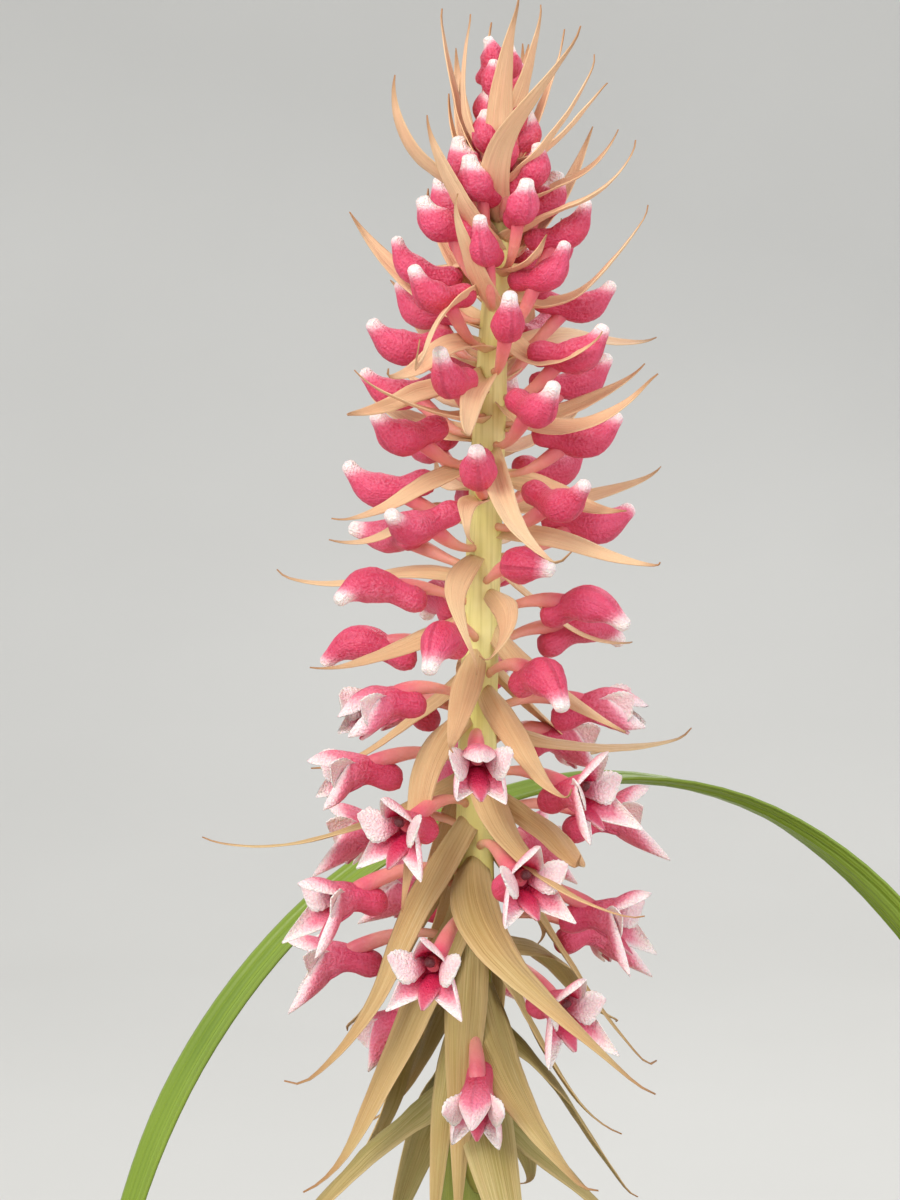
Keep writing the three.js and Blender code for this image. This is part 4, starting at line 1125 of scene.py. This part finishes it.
def add_petal(shape, kind, spread, sign):
    """A broad petal with a ruffled rim, on one side of the mouth."""
    out = lerp(0.35, 1.0, spread)
    line = bent_line([
        (1.4, sign * 1.3, -2.0), (3.8, sign * 2.0, -1.9),
        (5.4 + 1.3 * (1 - out), sign * lerp(1.8, 3.7 + wander(kind, 40, 0.3), out), -1.4),
        (6.2 + 1.9 * (1 - out), sign * lerp(0.8, 5.6 + wander(kind, 41, 0.4), out),
         -0.1 + wander(kind, 42, 0.5)),
    ], PETAL_STATIONS)
    halves = np.array([along(PETAL_HALF, s) for s in np.linspace(0, 1, PETAL_STATIONS)])
    halves[RUFFLED_FROM:] += [RUFFLE * (-1) ** n for n in range(PETAL_STATIONS - RUFFLED_FROM)]
    across = [(-0.35, 0.2 * sign, 1.0)] * PETAL_STATIONS
    points, faces, grid = shell_blade(line, across, halves, thickness=0.24, columns=9, cup=0.22 * sign)
    rim = [0.25 + 0.5 * smoothstep(way / 0.65) + 0.3 * abs(side) ** 3
           for way, side in zip(grid["way"], grid["side"])]
    shape.add(points, faces, pale=rim, number=kind * KIND_STEP + sign, **grid)


def add_lip(shape, kind, spread):
    """The crimson lip, paler at its end and along its edges, which hangs lower as the flower opens."""
    drop = lerp(0.5, 1.0, spread)
    count = len(LIP_HALVES)
    line = bent_line([(0.8, 0, -3.7), (2.7, 0, -4.3), (4.8, wander(kind, 43, 0.3), -4.6 - 0.9 * drop),
                      (6.9, wander(kind, 43, 0.5), -4.5 - 3.1 * drop)], count)
    points, faces, grid = shell_blade(line, [(0, 1, 0)] * count, LIP_HALVES, thickness=0.4, columns=7, cup=0.3)
    spots = list(zip(grid["way"], grid["side"]))
    pale = [0.35 * smoothstep((way - 0.5) / 0.5) + 0.35 * side * side for way, side in spots]
    crimson = [lerp(1.0, 0.45, smoothstep((way - 0.4) / 0.6)) * (1 - 0.5 * side**4) for way, side in spots]
    shape.add(points, faces, pale=pale, crimson=crimson, number=kind, **grid)


def add_column(shape):
    """The short salmon column over the lip, its end darkened with painted shade for the shadow of the hollow
    under its tip.
    """
    rows = smooth_rows(COLUMN_ROWS, count=12, crowd=0.6)
    rings = [body_ring(row, ahead, sides=14) for row, ahead in zip(rows, aheads(rows))]
    points, faces = loft(rings)
    # painted shade: the column's end is darkened for the shadow in the hollow under its tip
    dark = [0.85 * smoothstep((f - 2.9) / 0.4) for f, _, _ in points]
    shape.add(points, faces, pale=0.1, salmon=0.55, dark=dark, **round_and_along(rings))


def open_flower(kind, spread, raised):
    """An open flower: a tube that parts into three sepals round two petals, the lip and the column."""
    shape = Shape(FLOWER_NUMBERS)
    add_sepals(shape, kind, spread, raised)
    for sign in (-1, 1):
        add_petal(shape, kind, spread, sign)
    add_lip(shape, kind, spread)
    add_column(shape)
    return shape


# Pieces
TUBE = tube_tree()
BLADE = blade_tree()
SEATED = seated_tree()
SLATS = slat_tree()
SCATTER = scatter_tree()


def kinds_of(name, pieces):
    gathered = bpy.data.collections.new(name)
    for piece in pieces:
        gathered.objects.link(piece)
    return gathered


def drop_kinds(gathered):
    for piece in list(gathered.objects):
        mesh = piece.data
        bpy.data.objects.remove(piece)
        bpy.data.meshes.remove(mesh)
    bpy.data.collections.remove(gathered)


def finished(piece, slot, *nodes):
    """Closes a piece: it rides with the plant and stands for its solids. Its slot is not used."""
    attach(piece, "root")
    if nodes:
        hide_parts(*nodes)
    return piece


SEATED_FLOWERS = {i: flower_frame(i) for i in range(FLOWERS) if i not in FALLEN}
OLDER_BUDS = 5
BUD_KINDS = 7
YOUNG_FROM = 0.9
WITHERED_BELOW = 0.06
HALF_OPEN, WIDE_OPEN = 0.4, 0.9
IN_FRONT = -0.6  # how far the direction of a flower in front points along Y, at least
# Each kind of open flower: how far it has spread and how much its top sepal is raised
OPEN_KINDS = [(0.3, 0.0), (0.65, 0.3), (1.0, -0.4), (1.0, 0.5), (1.0, 1.9), (1.0, 2.4)]


def flower_kind(i, seat):
    """The kind of flower i: the lowest close again, and those in front raise their top sepal."""
    either = draw(i, 11)
    if seat["openness"] <= 0:
        return OLDER_BUDS + (either < 0.5) if seat["age"] > YOUNG_FROM else int(either * OLDER_BUDS)
    if seat["age"] < WITHERED_BELOW:
        return BUD_KINDS + 1
    if seat["openness"] < WIDE_OPEN:
        return BUD_KINDS + (seat["openness"] >= HALF_OPEN)
    in_front = seat["out"].y < IN_FRONT
    return BUD_KINDS + 2 + 2 * in_front + (draw(i, 12) < 0.5)


def place_flowers():
    """The buds and the open flowers, each at its seat in the spiral."""
    shapes = [bud(k, k >= OLDER_BUDS) for k in range(BUD_KINDS)]
    shapes += [open_flower(k, *look) for k, look in enumerate(OPEN_KINDS)]
    kinds = kinds_of("flower kinds", [s.made(f"kind_{k:02d}", link=False) for k, s in enumerate(shapes)])
    for name, is_open in (("buds", False), ("open_flowers", True)):
        chosen = {i: seat for i, seat in SEATED_FLOWERS.items() if (seat["openness"] > 0) == is_open}
        of_each = {label: [seat[label] for seat in chosen.values()]
                   for label in ("joint", "size", "age", "forward", "upright")}
        seats = mesh_object(name, of_each.pop("joint"), [],
                            {label: of_each[label] for label in ("size", "age")},
                            {label: of_each[label] for label in ("forward", "upright")})
        store(seats.data, "kind", [flower_kind(i, seat) for i, seat in chosen.items()], "INT")
        finished(grown(seats, SEATED, Kinds=kinds, Finish=PETAL), "flower", *["inflorescence"][:is_open])
    drop_kinds(kinds)


STALK_STEPS = 14
STALK_GIRTH = [(0, 0.85), (0.08, 0.62), (0.3, 0.78), (0.6, 1.25), (0.82, 1.38), (1, 1)]
SMALLEST_STALK = 0.72  # share of its girth
STALK_SIDES = 10


def stalk_path(seat):
    """The line of a stalk, arched from the spike into the back of its flower, with its girth."""
    def in_flower(ahead, up):
        return seat["joint"] + (seat["forward"] * ahead + seat["upright"] * up) * seat["size"]

    start, end = seat["root"], in_flower(1.8, -2.3)
    lift = lerp(-1.2, 3.4, 1 - seat["roll"] / math.pi)
    bow = start + seat["out"] * (end - start).length * 0.35 + Vector((0, 0, lift))
    back = in_flower(-3.4, -0.7)
    path = []
    for k in range(STALK_STEPS + 1):
        t = k / STALK_STEPS
        point = start * (1 - t) ** 3 + bow * 3 * t * (1 - t) ** 2 + back * 3 * t * t * (1 - t) + end * t**3
        girth = along(STALK_GIRTH, t) * max(SMALLEST_STALK, seat["size"])
        path.append((point, {"girth": girth, "way": t}, {}))
    return path


def place_stalks():
    """Each ovary with its stalk."""
    paths = [stalk_path(seat) for seat in SEATED_FLOWERS.values()]
    finished(grown(paths_object("flower_stalks", paths), TUBE, Sides=STALK_SIDES, Finish=STALK), "flower")


STEM_STATIONS = 90
STEM_SIDES = 20
STEM_END = 0.5  # its radius at the tip


def place_stem():
    path = []
    for z in np.linspace(SPIKE_FOOT, SPIKE_TIP, STEM_STATIONS):
        path.append((spike_axis(z), {"girth": spike_radius(z) * (1 + 0.03 * math.sin(z * 0.9))}, {}))
    path[-1][1]["girth"] = STEM_END
    finished(grown(paths_object("spike_stem", [path]), TUBE, Sides=STEM_SIDES, Finish=STEM), "flower")


# How broad a bract is along it, low and high in the raceme
BRACT_SHAPE = [
    (0, 0.6), (0.06, 0.8), (0.15, 0.95), (0.25, 1), (0.4, 0.84), (0.55, 0.62), (0.7, 0.4), (0.82, 0.21),
    (0.92, 0.09), (1, 0.03),
]
UPPER_BRACT_SHAPE = [
    (0, 0.7), (0.1, 0.95), (0.25, 1), (0.45, 0.84), (0.65, 0.6), (0.8, 0.36), (0.9, 0.18), (1, 0.03),
]
# How broad the papery blade is beside the solid's, from the lowest bract to the highest
BRACT_BREADTH = [(0, 1), (0.25, 0.95), (0.4, 0.74), (0.6, 0.76), (0.85, 0.95), (1, 1.2)]
# Bracts that lie partly edge-on: their share of that breadth, and their twist at foot and tip
EDGE_ON = {5: (0.55, 0, 0), 10: (0.8, 0, 0), 68: (0.7, 25, 80)}
BRACT_DROP = 1.2  # from a flower's seat down to its bract's
BRACT_SUNK = 0.4  # how deep its foot stands in the stem
BRACT_STEPS = 26
BRACT_THICKNESS = 0.18
CURL_FROM = 0.72  # place along a bract where its hair starts to curl
OWN_CURL_FROM = 0.88  # the same for a bract with its own lie
STEEPEST = 88
# By how many degrees a bract's hair curls aside and hooks, and its blade turns and twists
MOST_CURL = 60
HOOK = (-30, 80)
BLADE_TURN = (15, 50)
MOST_TWIST = 25


def bract_path(i):
    """The line of bract i, drawn out to a hair that curls, with the directions of its blade."""
    u, z, heading = flower_seat(i)
    passed, sweep, slopes, length = bract_lie(i)
    foot = heading + passed
    start = spike_axis(z - BRACT_DROP) + outward(foot) * (spike_radius(z) - BRACT_SUNK)
    curl_from = OWN_CURL_FROM if any(i == row[0] for row in OWN_BRACTS) else CURL_FROM
    calm = 1 - 0.5 * smoothstep((u - 0.8) / 0.15)
    curl = wander(i, 41, MOST_CURL) * calm
    hook = lerp(*HOOK, draw(i, 42)) * calm

    def curled(s):
        return max(0.0, (s - curl_from) / (1 - curl_from)) ** 2

    points = turning_path(start, length, BRACT_STEPS, lambda s: foot + sweep * s + curl * curled(s),
                          lambda s: along(slopes, s) + hook * curled(s))
    hugging = float(np.clip((-along(BRACT_START, u) - 15) / 15, -1, 1))
    half = along(BRACT_HALF, u) * along(BRACT_BREADTH, u)
    turned = lerp(*BLADE_TURN, draw(i, 44)) * math.sin(math.radians(foot)) * smoothstep((u - 0.3) / 0.3)
    turned *= 1 - 0.7 * smoothstep((u - 0.85) / 0.1)
    share, foot_twist, tip_twist = EDGE_ON.get(i, (1, turned, turned + wander(i, 43, MOST_TWIST)))
    upper = smoothstep((u - 0.5) / 0.3)
    path = []
    for k, (centre, its_heading, slope) in enumerate(points):
        s = k / BRACT_STEPS
        across, facing = blade_directions(its_heading, min(STEEPEST, slope), lerp(foot_twist, tip_twist, s))
        width = half * share * lerp(along(BRACT_SHAPE, s), along(UPPER_BRACT_SHAPE, s), upper)
        path.append((centre, {"half": width, "way": s, "number": i, "age": u},
                     {"across": across, "facing": facing * hugging}))
    return path


def place_bracts():
    """The bracts, each swept past one side of its flower, and one under the lowest flower."""
    lines = paths_object("bracts", [bract_path(i) for i in range(-1, FLOWERS)])
    piece = grown(lines, BLADE, BRACT_THICKNESS, Columns=11, Fold=0.3, Clasp=0.9, Ribs=3.0, Rib_Depth=0.03,
                  Wave=0.3, Finish=BRACT)
    finished(piece, "sheath")


def bulb_crown(bulb):
    x, y, _, height = BULBS[bulb]
    return Vector((x, y, MEDIUM_TOP + height))


def arch(rise, fall, first, last):
    """The slope of a leaf that turns from rise to fall between two places along it."""
    return lambda run: lerp(rise, fall, smoothstep((run - first) / (last - first)))


# The leaf that shows beside the raceme: its length, and its slope along it
SHOWN_LEAF_LENGTH = 430
SHOWN_LEAF_SLOPES = [
    (0, 86), (0.15, 83), (0.3, 71), (0.42, 47), (0.54, 13), (0.64, -30), (0.74, -60), (0.86, -76), (1, -86),
]
# bulb, lean, length, half width, slope at a place along it, twist along it
LEAVES = [
    (0, 2.5, SHOWN_LEAF_LENGTH, 5.2, lambda run: along(SHOWN_LEAF_SLOPES, run / SHOWN_LEAF_LENGTH),
     [(0, 0), (0.2, 20), (0.33, 21), (0.42, 15), (0.5, 10), (0.56, 0), (0.64, -24), (0.7, -46), (0.78, -56)]),
    (0, 128, 430, 7.5, arch(78, -62, 30, 360), [(0, 0), (0.5, 6)]),
    (0, 238, 400, 7, arch(76, -58, 20, 350), [(0, 0), (0.5, -20)]),
    (1, 98, 400, 8, arch(56, -54, 0, 260), [(0, 0), (0.5, 10)]),
    (1, 205, 370, 7, arch(57, -50, 0, 300), [(0, 0), (0.5, -15)]),
    (2, 42, 430, 8, arch(64, -60, 0, 320), [(0, 0), (0.5, 15)]),
    (2, 105, 350, 7, arch(60, -52, 0, 220), [(0, 0), (0.5, 12)]),
    (3, 8, 450, 8, arch(78, -62, 30, 360), [(0, 0), (0.5, -10)]),
    (3, 285, 400, 7.5, arch(70, -56, 0, 320), [(0, 0), (0.5, 18)]),
    (4, 262, 380, 7, arch(68, -54, 0, 310), [(0, 0), (0.5, -8)]),
]
LEAF_BASE_OFFSET = 3.6  # from the middle of the bulb's crown
LEAF_SUNK = 1.0  # into the crown
LEAF_BASE_HALF = 2.2
LEAF_END_HALF = 0.12
# Where along a leaf it is broad, where it starts to taper, and over how much of it
LEAF_BROAD_FROM = 0.35
LEAF_TAPERS_FROM = 0.45
LEAF_TAPER = 0.62
LEAF_STEPS = 90
LEAF_THICKNESS = 0.45
FIRST_LEAF_NUMBER = 100


def leaf_path(number, bulb, lean, length, half, slope, twist):
    """The line of a leaf with its breadth and the directions of its blade."""
    heading = lean + 90
    start = bulb_crown(bulb) + outward(heading) * LEAF_BASE_OFFSET
    start.z -= LEAF_SUNK
    points = turning_path(start, length, LEAF_STEPS, lambda s: heading, lambda s: slope(s * length))
    path = []
    for j, (centre, _, its_slope) in enumerate(points):
        s = j / LEAF_STEPS
        width = lerp(LEAF_BASE_HALF / half, 1, smoothstep(s / LEAF_BROAD_FROM))
        width *= 1 - smoothstep((s - LEAF_TAPERS_FROM) / LEAF_TAPER)
        across, facing = blade_directions(heading, its_slope, along(twist, s))
        path.append((centre, {"half": max(LEAF_END_HALF, half * width), "way": s, "number": number},
                     {"across": across, "facing": -facing}))
    return path


def place_leaves():
    lines = paths_object("leaves", [leaf_path(FIRST_LEAF_NUMBER + k, *leaf) for k, leaf in enumerate(LEAVES)])
    piece = grown(lines, BLADE, LEAF_THICKNESS, Columns=21, Fold=0.3, Ribs=5.0, Rib_Depth=0.045, Wave=0.12,
                  Finish=LEAF)
    finished(piece, "leaf", *[f"leaf_{k + 1}" for k in range(len(LEAVES))])


def wrapped(shape, rim, radius, axis, sides, rows, wall, number):
    """A thin tube that wraps something, with its rim cut to rim(turn)."""
    skins = []
    for inset in (0.0, wall):
        for r in range(rows + 1) if inset == 0 else range(rows, -1, -1):
            ring = []
            for k in range(sides):
                turn = 360 * k / sides
                share = rim(turn) * r / rows
                point = axis(share) + outward(turn) * (radius(share, turn) - inset)
                ring.append((tuple(point), abs(180 - turn) / 180 * 2 - 1, share))
            skins.append(ring)
    points, faces = loft([[p for p, _, _ in ring] for ring in skins], looped=True)
    flat = [entry for ring in skins for entry in ring]
    shape.add(points, faces, side=[s for _, s, _ in flat], way=[w for _, _, w in flat], number=number)


SHEATH_WALL = 0.5
SHEATH_STAND_OFF = SEAT_GAP + 0.55  # of its outer side, at its foot
SHEATH_FLARE = 1.5
SHEATH_CUT = 0.62  # height of its rim opposite the point
SHEATH_RIDGE = 0.1


def place_sheaths():
    """The sheaths round the stem, each cut obliquely, with a finely ridged rim."""
    shape = Shape(BLADE_NUMBERS)
    for k in range(SHEATHS):
        foot = SHEATH_FOOT + k * SHEATH_PITCH
        point_heading = FIRST_SHEATH_DEG + SHEATH_TURN_DEG * k

        def rim(turn):
            away = abs(180 - ((turn - point_heading) % 360)) / 180
            return lerp(SHEATH_CUT, 1, away**3) + 0.012 * math.sin(math.radians(turn) * 7 + k)

        def radius(share, turn):
            ridge = SHEATH_RIDGE * math.cos(math.radians(turn) * 9)
            flare = SHEATH_FLARE * share**1.6 + ridge * share
            return spike_radius(foot + SHEATH_LENGTH * share) + SHEATH_STAND_OFF + flare

        def axis(share):
            return spike_axis(foot + SHEATH_LENGTH * share)

        wrapped(shape, rim, radius, axis, sides=40, rows=14, wall=SHEATH_WALL, number=k)
    piece = shape.made("stem_sheaths", SHEATH)
    finished(piece, "sheath", *[f"spike_sheath_{k + 1}" for k in range(SHEATHS)])


# Outline of a bulb from its foot: shares of its radius and of its height
BULB_OUTLINE = [
    (0, 0), (0.3, 0.005), (0.62, 0.03), (0.86, 0.16), (1, 0.4), (0.9, 0.62), (0.62, 0.84), (0.36, 0.965),
    (0.3, 0.995), (0.12, 1.0), (0, 1),
]
BULB_SIDES = 48
BULB_RIBS = 9
RIB_SHARE = 0.035
POINTED_BELOW = 0.3  # a ring of a bulb narrower than this is one point
HUSK_FOOT = 4  # above the bulb's foot
HUSK_WALL = 0.45


def bulb_rings(n, x, y, radius, height):
    """Rings of bulb n, with shallow ribs that fade towards its foot and its crown."""
    total = height + BULB_SUNK
    foot = MEDIUM_TOP - BULB_SUNK
    rings = []
    for r, h in smooth_rows([(b * total, a * radius) for a, b in BULB_OUTLINE], count=30)[:, ::-1]:
        if r < POINTED_BELOW:
            rings.append([(x, y, foot + h)])
            continue
        swell = math.sin(math.pi * min(1, max(0, h / total))) * RIB_SHARE
        ring = []
        for k in range(BULB_SIDES):
            a = 2 * math.pi * k / BULB_SIDES
            ribbed = r * (1 + swell * math.cos(BULB_RIBS * a + n))
            ring.append((x + ribbed * math.sin(a), y - ribbed * math.cos(a), foot + h))
        rings.append(ring)
    return rings


def add_husk(husks, n, x, y, radius, height):
    """The dry skin round the foot of bulb n, torn along its rim."""
    total = height + BULB_SUNK
    foot = MEDIUM_TOP - BULB_SUNK + HUSK_FOOT

    def rim(turn):
        a = math.radians(turn)
        ragged = 0.06 * math.sin(5 * a + n) + 0.05 * math.sin(13 * a + 2 * n) + 0.035 * math.sin(29 * a)
        return (BULB_SUNK - HUSK_FOOT + height * (0.42 + 0.12 * math.sin(a + n * 2) + ragged)) / total

    def girth(share, turn):
        a = math.radians(turn)
        level = along([(rise, breadth) for breadth, rise in BULB_OUTLINE], share) * radius
        ribbed = level * (1 + RIB_SHARE * math.cos(BULB_RIBS * a + n))
        return ribbed + 0.9 + 1.4 * share * abs(math.sin(3.5 * a + n))

    def axis(share):
        return Vector((x, y, foot + (total - HUSK_FOOT) * share))

    wrapped(husks, rim, girth, axis, sides=72, rows=12, wall=HUSK_WALL, number=n)


def place_bulbs():
    bulbs = Shape()
    husks = Shape(BLADE_NUMBERS)
    for n, bulb in enumerate(BULBS):
        bulbs.add(*loft(bulb_rings(n, *bulb)))
        add_husk(husks, n, *bulb)
    stood_for = [f"pseudobulb_{n + 1}" for n in range(len(BULBS))]
    finished(bulbs.made("pseudobulbs", BULB), "pseudobulb", *stood_for)
    finished(husks.made("bulb_husks", HUSK), "sheath")


SLAT_STATIONS = 22
SLAT_END = 8  # from a slat's end to the first of its stations
EASED_LENGTH = 0.9
EASED_SHARE = 0.9  # breadth of its end, as a share of the slat's


def slat_path(centre, along_y, tone):
    """A straight path for one slat, with its ends eased."""
    half = BASKET_WIDTH / 2
    middle = np.linspace(-half + SLAT_END, half - SLAT_END, SLAT_STATIONS)
    stations = [-half, -half + EASED_LENGTH, *middle, half - EASED_LENGTH, half]
    path = []
    for run in stations:
        point = Vector(centre) + (Vector((0, run, 0)) if along_y else Vector((run, 0, 0)))
        ease = EASED_SHARE if abs(run) == half else 1.0
        path.append((point, {"ease": ease, "run": run * MM, "tone": tone}, {}))
    return path


def read_back(mesh, label, field, width):
    """What each point of a mesh carries under a name, as rows of the given width."""
    values = np.zeros(len(mesh.vertices) * width, np.float32)
    mesh.attributes[label].data.foreach_get(field, values)
    return values.reshape(-1, width)


def place_slats(name, paths, width, nodes):
    """Slats with their grain along them; the place in the grain is kept on each slat."""
    piece = grown(paths_object(name, paths), SLATS, Width=width * MM, Height=SLAT_SIDE * MM, Finish=SLAT)
    run = read_back(piece.data, "run", "value", 1)
    section = read_back(piece.data, "section", "vector", 3)
    store(piece.data, "grain_place", np.column_stack([run, section[:, :2]]), "FLOAT_VECTOR")
    finished(piece, "slat_wood", *nodes)


def place_basket():
    """Pairs of slats that run along X and Y in turn, over a floor of slats."""
    walls, names = [], []
    for layer in range(1, LAYERS):
        along_y = layer % 2 == 0
        level = layer * LAYER_PITCH + SLAT_SIDE / 2
        for sign in (-1, 1):
            wall = ("left", "right")[sign > 0] if along_y else ("front", "back")[sign > 0]
            x, y = (sign * ROD_PLACE, 0) if along_y else (0, sign * ROD_PLACE)
            names.append(f"basket_{wall}_slat_{math.ceil(layer / 2)}")
            walls.append(slat_path((x, y, level), along_y, draw(len(names), 60)))
    floors = []
    for k in range(FLOOR_SLATS):
        x = lerp(-ROD_PLACE, ROD_PLACE, k / (FLOOR_SLATS - 1))
        floors.append(slat_path((x, 0, SLAT_SIDE / 2), True, draw(k, 61)))
    place_slats("wall_slats", walls, SLAT_SIDE, names)
    place_slats("floor_slats", floors, FLOOR_SLAT_WIDTH,
                [f"basket_floor_slat_{k + 1}" for k in range(FLOOR_SLATS)])


# Outline of a rod from its foot, and of its round head above the basket's top: radius and height
ROD_OUTLINE = [(0, 1.5), (1.2, 1.5), (1.5, 1.8)]
ROD_HEAD = [(1.5, 0.3), (2.7, 0.3), (3.0, 0.6), (2.9, 1.2), (2.3, 1.9), (1.3, 2.25), (0, 2.3)]
ROD_SIDES = 24
CORNERS = ((-1, -1), (1, -1), (1, 1), (-1, 1))


def place_rods():
    shape = Shape()
    for sx, sy in CORNERS:
        rings = []
        for r, z in ROD_OUTLINE + [(r, BASKET_HEIGHT + h) for r, h in ROD_HEAD]:
            turns = [2 * math.pi * k / ROD_SIDES for k in range(ROD_SIDES)] if r else [0.0]
            rings.append([(sx * ROD_PLACE + r * math.cos(a), sy * ROD_PLACE + r * math.sin(a), z)
                          for a in turns])
        shape.add(*loft(rings))
    piece = shape.made("corner_rods", WIRE)
    finished(piece, "rod_wire", *[f"basket_corner_rod_{k + 1}" for k in range(len(CORNERS))])


FLAKE_KINDS = 6
FLAKE_CORNERS = 7
FLAKE_LENGTH, FLAKE_BREADTH, FLAKE_THICKNESS = (6.5, 9.5), (3.5, 5.5), (1.2, 2.2)
FLAKE_CORNER_SHARE = (0.75, 1.12)
FLAKE_UNEVENNESS = (0.8, 1.2)
FLAKE_BOW = 0.12
FLAKE_SPAN = 9
FLAKE_LEVELS = ((-1.0, 0.62), (-0.35, 0.95), (0.4, 1.0), (1.0, 0.7))  # height and breadth, as shares


def bark_flake(kind):
    """An irregular flat chip of bark, longer than it is broad and a little bowed."""
    length = lerp(*FLAKE_LENGTH, draw(kind, 70))
    breadth = lerp(*FLAKE_BREADTH, draw(kind, 71))
    thickness = lerp(*FLAKE_THICKNESS, draw(kind, 72))
    rings = [[(0, 0, -thickness)]]
    for level, (h, scale) in enumerate(FLAKE_LEVELS):
        ring = []
        for k in range(FLAKE_CORNERS):
            a = 2 * math.pi * (k + 0.35 * draw(kind * 9 + k, 73)) / FLAKE_CORNERS
            grow = scale * lerp(*FLAKE_CORNER_SHARE, draw(kind * 31 + k, 74))
            bow = FLAKE_BOW * (math.cos(a) * length / FLAKE_SPAN) ** 2 * FLAKE_SPAN
            rough = lerp(*FLAKE_UNEVENNESS, draw(kind * 17 + k + level * 5, 75))
            level_height = h * thickness * rough - bow
            ring.append((length * grow * math.cos(a), breadth * grow * math.sin(a), level_height))
        rings.append(ring)
    rings.append([(0, 0, thickness * 1.1)])
    shape = Shape()
    shape.add(*loft(rings))
    return shape


FLAKES_FROM = MEDIUM_TOP - 12  # lowest level of the faces on top that carry flakes
MEDIUM_SIDE = ROD_PLACE - SLAT_SIDE / 2 - SEAT_GAP
SIDE_SLACK = 0.5
JOINED_WITHIN = 1e-5
UPWARD = 0.6


def flaked_surface(core):
    """The top and the sides of the medium, without its underside and its holes."""
    shell = bmesh.new()
    shell.from_mesh(core.data)
    bmesh.ops.remove_doubles(shell, verts=shell.verts, dist=JOINED_WITHIN)
    gone = []
    for face in shell.faces:
        middle = face.calc_center_median()
        on_top = face.normal.z > UPWARD and middle.z > FLAKES_FROM * MM
        on_side = max(abs(middle.x), abs(middle.y)) > (MEDIUM_SIDE - SIDE_SLACK) * MM
        if not (on_top or on_side):
            gone.append(face)
    bmesh.ops.delete(shell, geom=gone, context="FACES")
    surface = bpy.data.objects.new("bark_chips", bpy.data.meshes.new("bark_chips"))
    shell.to_mesh(surface.data)
    shell.free()
    bpy.context.scene.collection.objects.link(surface)
    return surface


def place_medium():
    """Bark chips over the top of the medium and behind the gaps of the walls."""
    core = frame["nodes"]["growing_medium"]
    core.data.materials.clear()
    core.data.materials.append(BARK)
    flakes = [bark_flake(k).made(f"flake_{k}", smooth=False, link=False) for k in range(FLAKE_KINDS)]
    kinds = kinds_of("bark kinds", flakes)
    piece = grown(flaked_surface(core), SCATTER, Kinds=kinds, Spacing=0.0058, Density=60000.0, Smallest=0.55,
                  Largest=1.05, Tilt=0.3, Seed=4, Finish=BARK)
    drop_kinds(kinds)
    finished(piece, "bark")


place_flowers()
place_stalks()
place_stem()
place_bracts()
place_leaves()
place_sheaths()
place_bulbs()
place_basket()
place_rods()
place_medium()


# Floor, backdrop and light
FLOOR_HALF_WIDTH = 4.0
FLOOR_FRONT = -2.4
SWEEP_FROM = 1.2
SWEEP_RADIUS = 0.9
SWEEP_STEPS = 14
BACKDROP_TOP = 3.5


def place_floor():
    """A pale floor that sweeps up into a backdrop behind the plant."""
    sweep = [(SWEEP_FROM + SWEEP_RADIUS * math.sin(a), SWEEP_RADIUS - SWEEP_RADIUS * math.cos(a))
             for a in np.linspace(0.1, math.pi / 2, SWEEP_STEPS)]
    profile = [(FLOOR_FRONT, 0.0), (SWEEP_FROM, 0.0), *sweep, (SWEEP_FROM + SWEEP_RADIUS, BACKDROP_TOP)]
    points = [(x / MM, y / MM, z / MM) for y, z in profile for x in (-FLOOR_HALF_WIDTH, FLOOR_HALF_WIDTH)]
    faces = [[2 * k, 2 * k + 1, 2 * k + 3, 2 * k + 2] for k in range(len(profile) - 1)]
    floor = mesh_object("floor", points, faces)
    for face in floor.data.polygons:
        face.use_smooth = True
    floor.data.materials.append(FLOOR)


def area_light(name, place, aim, size, watts, colour=(1, 1, 1)):
    lamp = bpy.data.lights.new(name, "AREA")
    lamp.shape = "RECTANGLE"
    lamp.size, lamp.size_y = size
    lamp.energy = watts
    lamp.color = colour
    looking(name, lamp, place, aim)


def place_daylight(colour, strength):
    world = bpy.data.worlds.new("soft daylight")
    world.use_nodes = True
    sky = world.node_tree.nodes["Background"].inputs
    sky["Color"].default_value = colour
    sky["Strength"].default_value = strength
    bpy.context.scene.world = world


place_floor()
area_light("key light", place=(-0.7, -0.9, 1.25), aim=(0, 0, 0.3), size=(0.9, 0.9), watts=17.5,
           colour=(1.0, 0.98, 0.95))
area_light("fill light", place=(1.2, -0.9, 0.7), aim=(0, 0, 0.3), size=(1.2, 1.2), watts=8,
           colour=(0.95, 0.97, 1.0))
area_light("back light", place=(0.5, 1.1, 1.3), aim=(0, 0, 0.35), size=(1.0, 0.8), watts=9)
place_daylight(colour=(0.85, 0.88, 0.92, 1), strength=0.8)
bpy.context.scene.view_settings.view_transform = "Standard"
